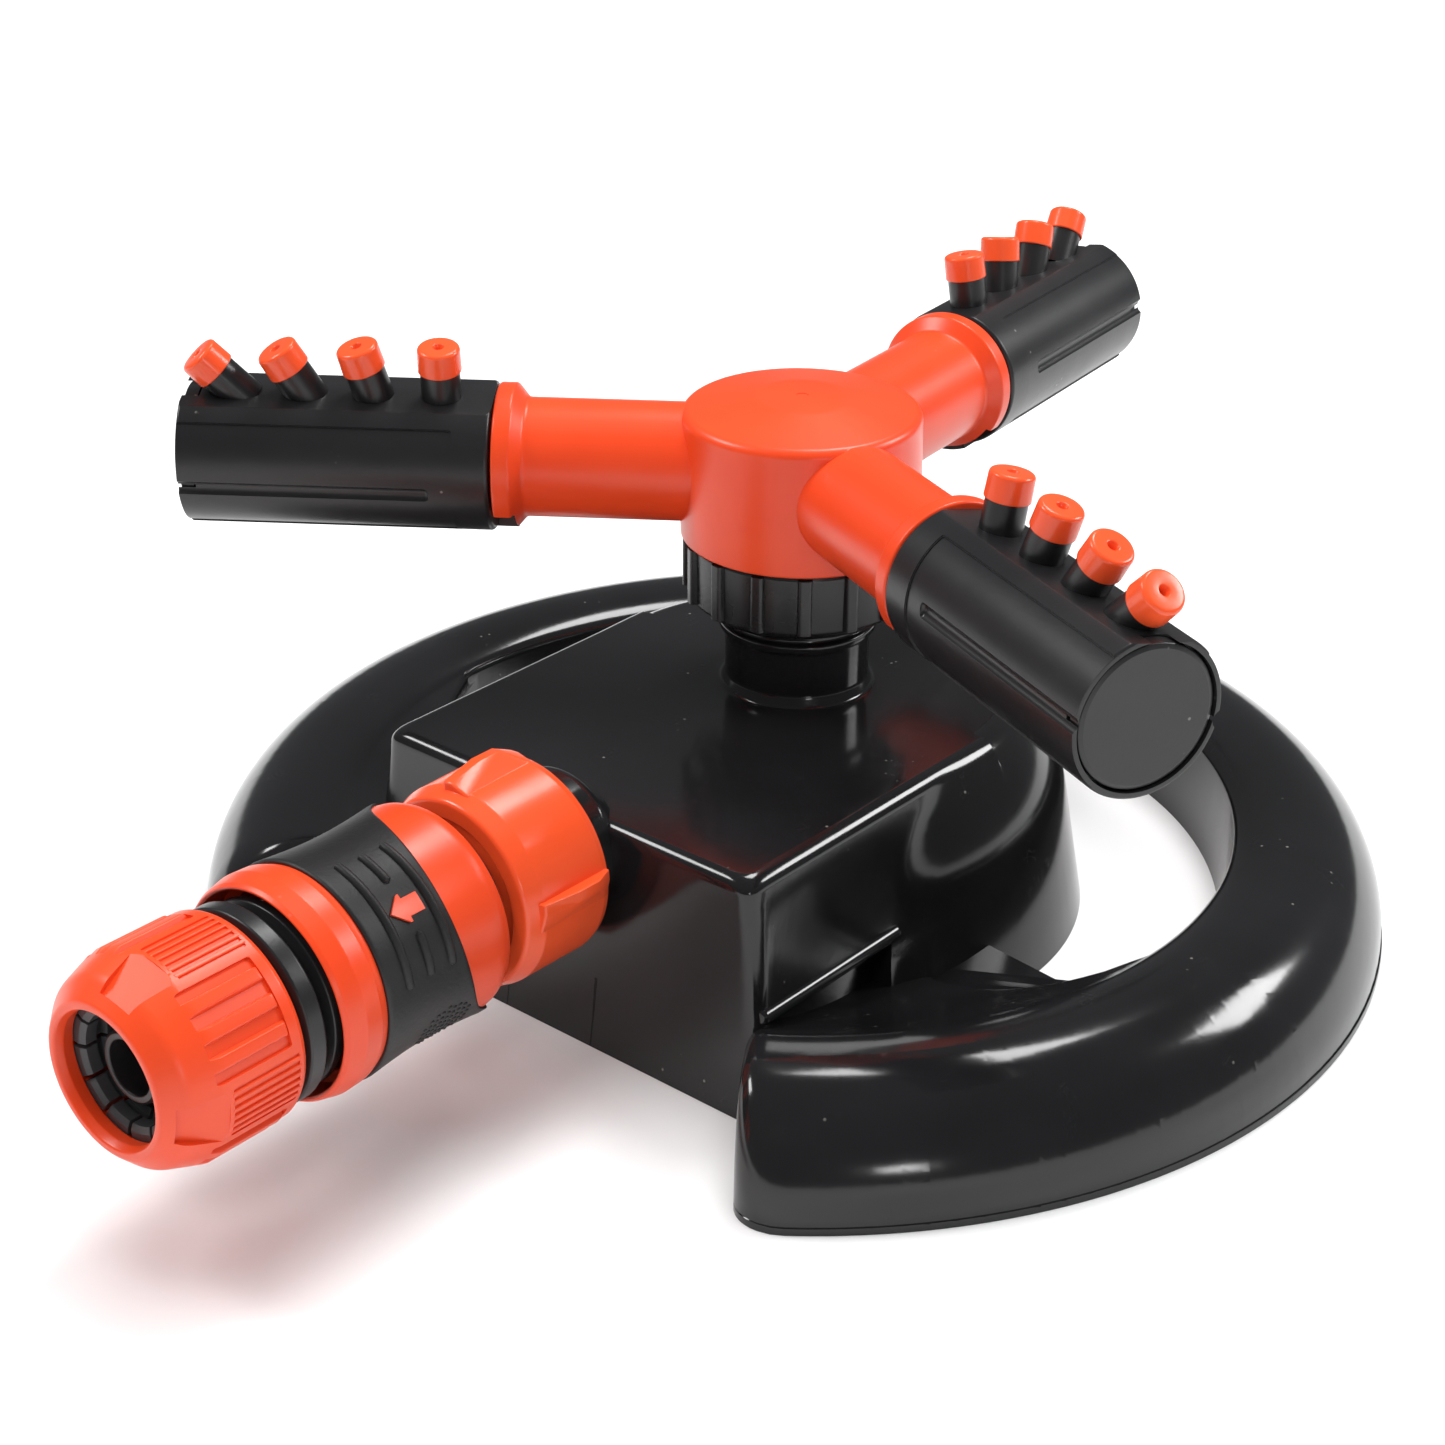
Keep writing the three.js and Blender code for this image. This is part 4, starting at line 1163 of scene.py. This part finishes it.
def arc_ridge(first, last, distance):
    """A half-round bar that follows the cover round, with rounded ends."""
    rows = []
    middle, half = (first + last) / 2, (last - first) / 2
    steps = max(8, int((last - first) / 1.5))
    for k in range(steps + 1):
        degrees = first + (last - first) * k / steps
        fullness = max(0.02, 1 - abs((degrees - middle) / half) ** (half * 1.6)) ** 0.5
        ring = []
        for side in range(BAR_SIDES):
            angle = 2 * math.pi * side / BAR_SIDES
            radius = waist(distance) + 0.62 + BAR_HEIGHT * fullness * math.sin(angle)
            ring.append(polar(radius, degrees, distance + BAR_WIDTH / 2 * fullness * math.cos(angle)))
        rows.append(ring)
    return capped("bar", rows)


def over_waist(height):
    """A radius that follows the waist at a height over it."""
    def at(distance):
        return waist(distance) + height
    return at


def gathered(objects):
    """Puts several meshes in the first one, without joining their shells."""
    bm = bmesh.new()
    for obj in objects:
        bm.from_mesh(obj.data)
    bm.to_mesh(objects[0].data)
    bm.free()
    for obj in objects[1:]:
        bpy.data.objects.remove(obj)
    return objects[0]


bars = [copies_round(arc_ridge(*bar), 2, start=PATTERN_TURN) for bar in BARS]
cover = joined(cover, *bars)
finish_piece(cover, "soft_cover", ON_LINE, SOFT_BLACK, "sleeve", ["grip_sleeve"], smooth=40)

arrow_outline = rounded([
    (-4.8, 104.3, 0.2), (4.8, 104.3, 0.2), (4.8, 107.3), (8.4, 107.3, 0.2), (0, 110.3, 0.2),
    (-8.4, 107.3, 0.2), (-4.8, 107.3)], closed=True)
arrow = wrapped("arrow", arrow_outline, over_waist(0.3), over_waist(1.15))
finish_piece(copies_round(arrow, 2, start=PATTERN_TURN), "cover_arrows", ON_LINE, ORANGE, "sleeve")

dot_rows = []
for row in DOT_ROWS:
    distance = DOT_MIDDLE + row * DOT_SPACING
    count = max(1, round(7.5 * math.sqrt(1 - (row / 4.7) ** 2)))
    dot = turned("dot", [(0, waist(distance) + 0.35), (0.42, waist(distance) + 0.45),
                         (0.36, waist(distance) + 0.82, 0.2), (0, waist(distance) + 0.95)], 10)
    moved(dot, Matrix.Translation((0, 0, distance)) @ Matrix.Rotation(math.pi / 2, 4, "Y"))
    dot_rows.append(copies_round(dot, 2, per_group=count, pitch=3.9, start=-33))
finish_piece(gathered(dot_rows), "thumb_dots", ON_LINE, SOFT_BLACK, "sleeve",
             smooth=60)
print("pattern pieces:", [name for name, count in pieces_made[-3:]])

# %% [markdown]
# ## The hose fingers
# Twelve grey fingers inside the orange nut close on the hose as the nut is screwed up. Each has two
# teeth inside. One finger is a bent plate like the barrel's panels, with an inner radius that
# steps at the teeth, and the copying tree sets it round.

# %% Fingers
finger_ring = turned("finger_ring", [(8.4, 142.2), (11.6, 142.2), (11.6, 143.4), (8.4, 143.4)], 96)


def finger_inside(distance):
    """A finger's inner radius: two teeth stand out of it."""
    return 8.9 if 144.4 < distance < 146.6 or 148.2 < distance < 150.4 else 9.9


finger_outline = [(-13, 143), (13, 143), (13, 150.8), (-13, 150.8)]
finger = wrapped("finger", finger_outline, finger_inside, steady(11.2), 0.5)
fingers = joined(finger_ring, copies_round(softened(finger, 0.12, 2), 12, start=15))
finish_piece(fingers, "hose_fingers", ON_LINE, GREY_ACETAL, "collet", ["hose_collet"])
print("finger faces:", pieces_made[-1][1])

# %% [markdown]
# ## The hose nut
# Round the nut, fields of fine ribs alternate with three broad bars, and a slanted flat faces each
# fine field. The fields are sunk a little, so that the ribs stand in them and not on the nut: two
# bent plates and a wedge are cut away a quarter turn apart, and then the ribs and bars are joined.


# %% Hose nut
NUT_START, NUT_END = along_line("hose_nut")
FIELD_TURN, BAR_TURN = -10, 35


def sunk_field(half, low, high, corner, floor):
    """The plate that is cut away to sink a field to a radius."""
    outline = rounded([(-half, low, corner), (half, low, corner), (half, high, corner),
                       (-half, high, corner)], closed=True)
    return wrapped("field", outline, steady(floor), steady(19), 20)


def both_sides(corners):
    """A hull's points, the same at a half width either side."""
    return [(r, side * half, z) for side in (-1, 1) for r, z, half in corners]


nut = turned("nut", [
    (14.3, NUT_START), (16.3, NUT_START, 0.4), (16.9, NUT_START + 0.9, 0.5), (16.95, 146.4, 4),
    (15.2, 151.4, 4), (12.3, NUT_END, 1.0), (11.1, NUT_END, 0.5), (10.6, NUT_END - 1.4, 0.5),
    (11.0, 151.0), (11.9, 150.6), (11.9, 142.4), (14.3, 141.4)], 192)
flat = hull("flat", both_sides([(16.75, 145.6, 4.6), (12.9, 152.6, 3.1), (19, 145.4, 4.6), (19, 154, 3.1)]))
nut = cut(nut, copies_round(sunk_field(15, 132.6, 144.8, 0.8, 16.6), 4, start=FIELD_TURN),
          copies_round(sunk_field(25, 133.6, 147.2, 1, 16.35), 4, start=BAR_TURN),
          copies_round(flat, 4, start=FIELD_TURN))
fine_outline = rounded([(16.2, -0.5), (17.0, -0.34, 0.2), (17.0, 0.34, 0.2), (16.2, 0.5)], closed=True)
fine = prism("fine", fine_outline, 132.4, 145.0)
bar = hull("bar", both_sides([(15.6, 133.0, 1.4), (15.6, 147.6, 1.4), (17.2, 134.0, 0.95),
                              (17.2, 145.6, 0.95), (16.5, 147.6, 1.2)]))
nut = joined(nut, copies_round(fine, 4, per_group=6, pitch=4.7, start=FIELD_TURN),
             copies_round(softened(bar, 0.3), 4, per_group=3, pitch=15, start=BAR_TURN))
finish_piece(nut, "clamp_nut", ON_LINE, ORANGE, "nut", ["hose_nut"])
print("hose nut faces:", pieces_made[-1][1])

# %% [markdown]
# ## Finish
# Clips, washers, seals, the claw and the spring need no finer shape than the frame gives them, so
# they only get their plastic, rubber or wire here. Then come the pale floor and a count of the
# finished pieces and of the frame's pieces that are kept.

# %% Finishes, floor and counts
CARRIED_FINISHES = {
    "riser_clip": WHITE_ACETAL, "lower_washer": WHITE_ACETAL, "upper_washer": WHITE_ACETAL,
    "journal_clip_1": WHITE_ACETAL, "journal_clip_2": WHITE_ACETAL, "journal_clip_3": WHITE_ACETAL,
    "channel_plug": SATIN_BLACK, "lock_claw": GREY_ACETAL, "sleeve_spring": SPRING_WIRE,
    "riser_oring": SEAL_RUBBER, "arm_oring_1": SEAL_RUBBER, "arm_oring_2": SEAL_RUBBER,
    "arm_oring_3": SEAL_RUBBER, "nipple_oring": SEAL_RUBBER, "tap_washer": SEAL_RUBBER,
}
for name, finish in CARRIED_FINISHES.items():
    frame["nodes"][name].material_slots[0].material = finish

FLOOR_REACH = 4.0
FLOOR_HEIGHT = -0.00005
floor_mesh = bpy.data.meshes.new("floor")
floor_mesh.from_pydata([(x * FLOOR_REACH, y * FLOOR_REACH, FLOOR_HEIGHT)
                        for x, y in ((-1, -1), (1, -1), (1, 1), (-1, 1))], [], [(0, 1, 2, 3)])
floor = bpy.data.objects.new("floor", floor_mesh)
bpy.context.scene.collection.objects.link(floor)
paper = Shader("paper")
paper.feed(Base_Color=(0.9, 0.9, 0.9, 1), Roughness=0.7)
floor_mesh.materials.append(paper.material)

print("finished pieces:", len(pieces_made), "and", len(CARRIED_FINISHES), "CAD pieces kept")
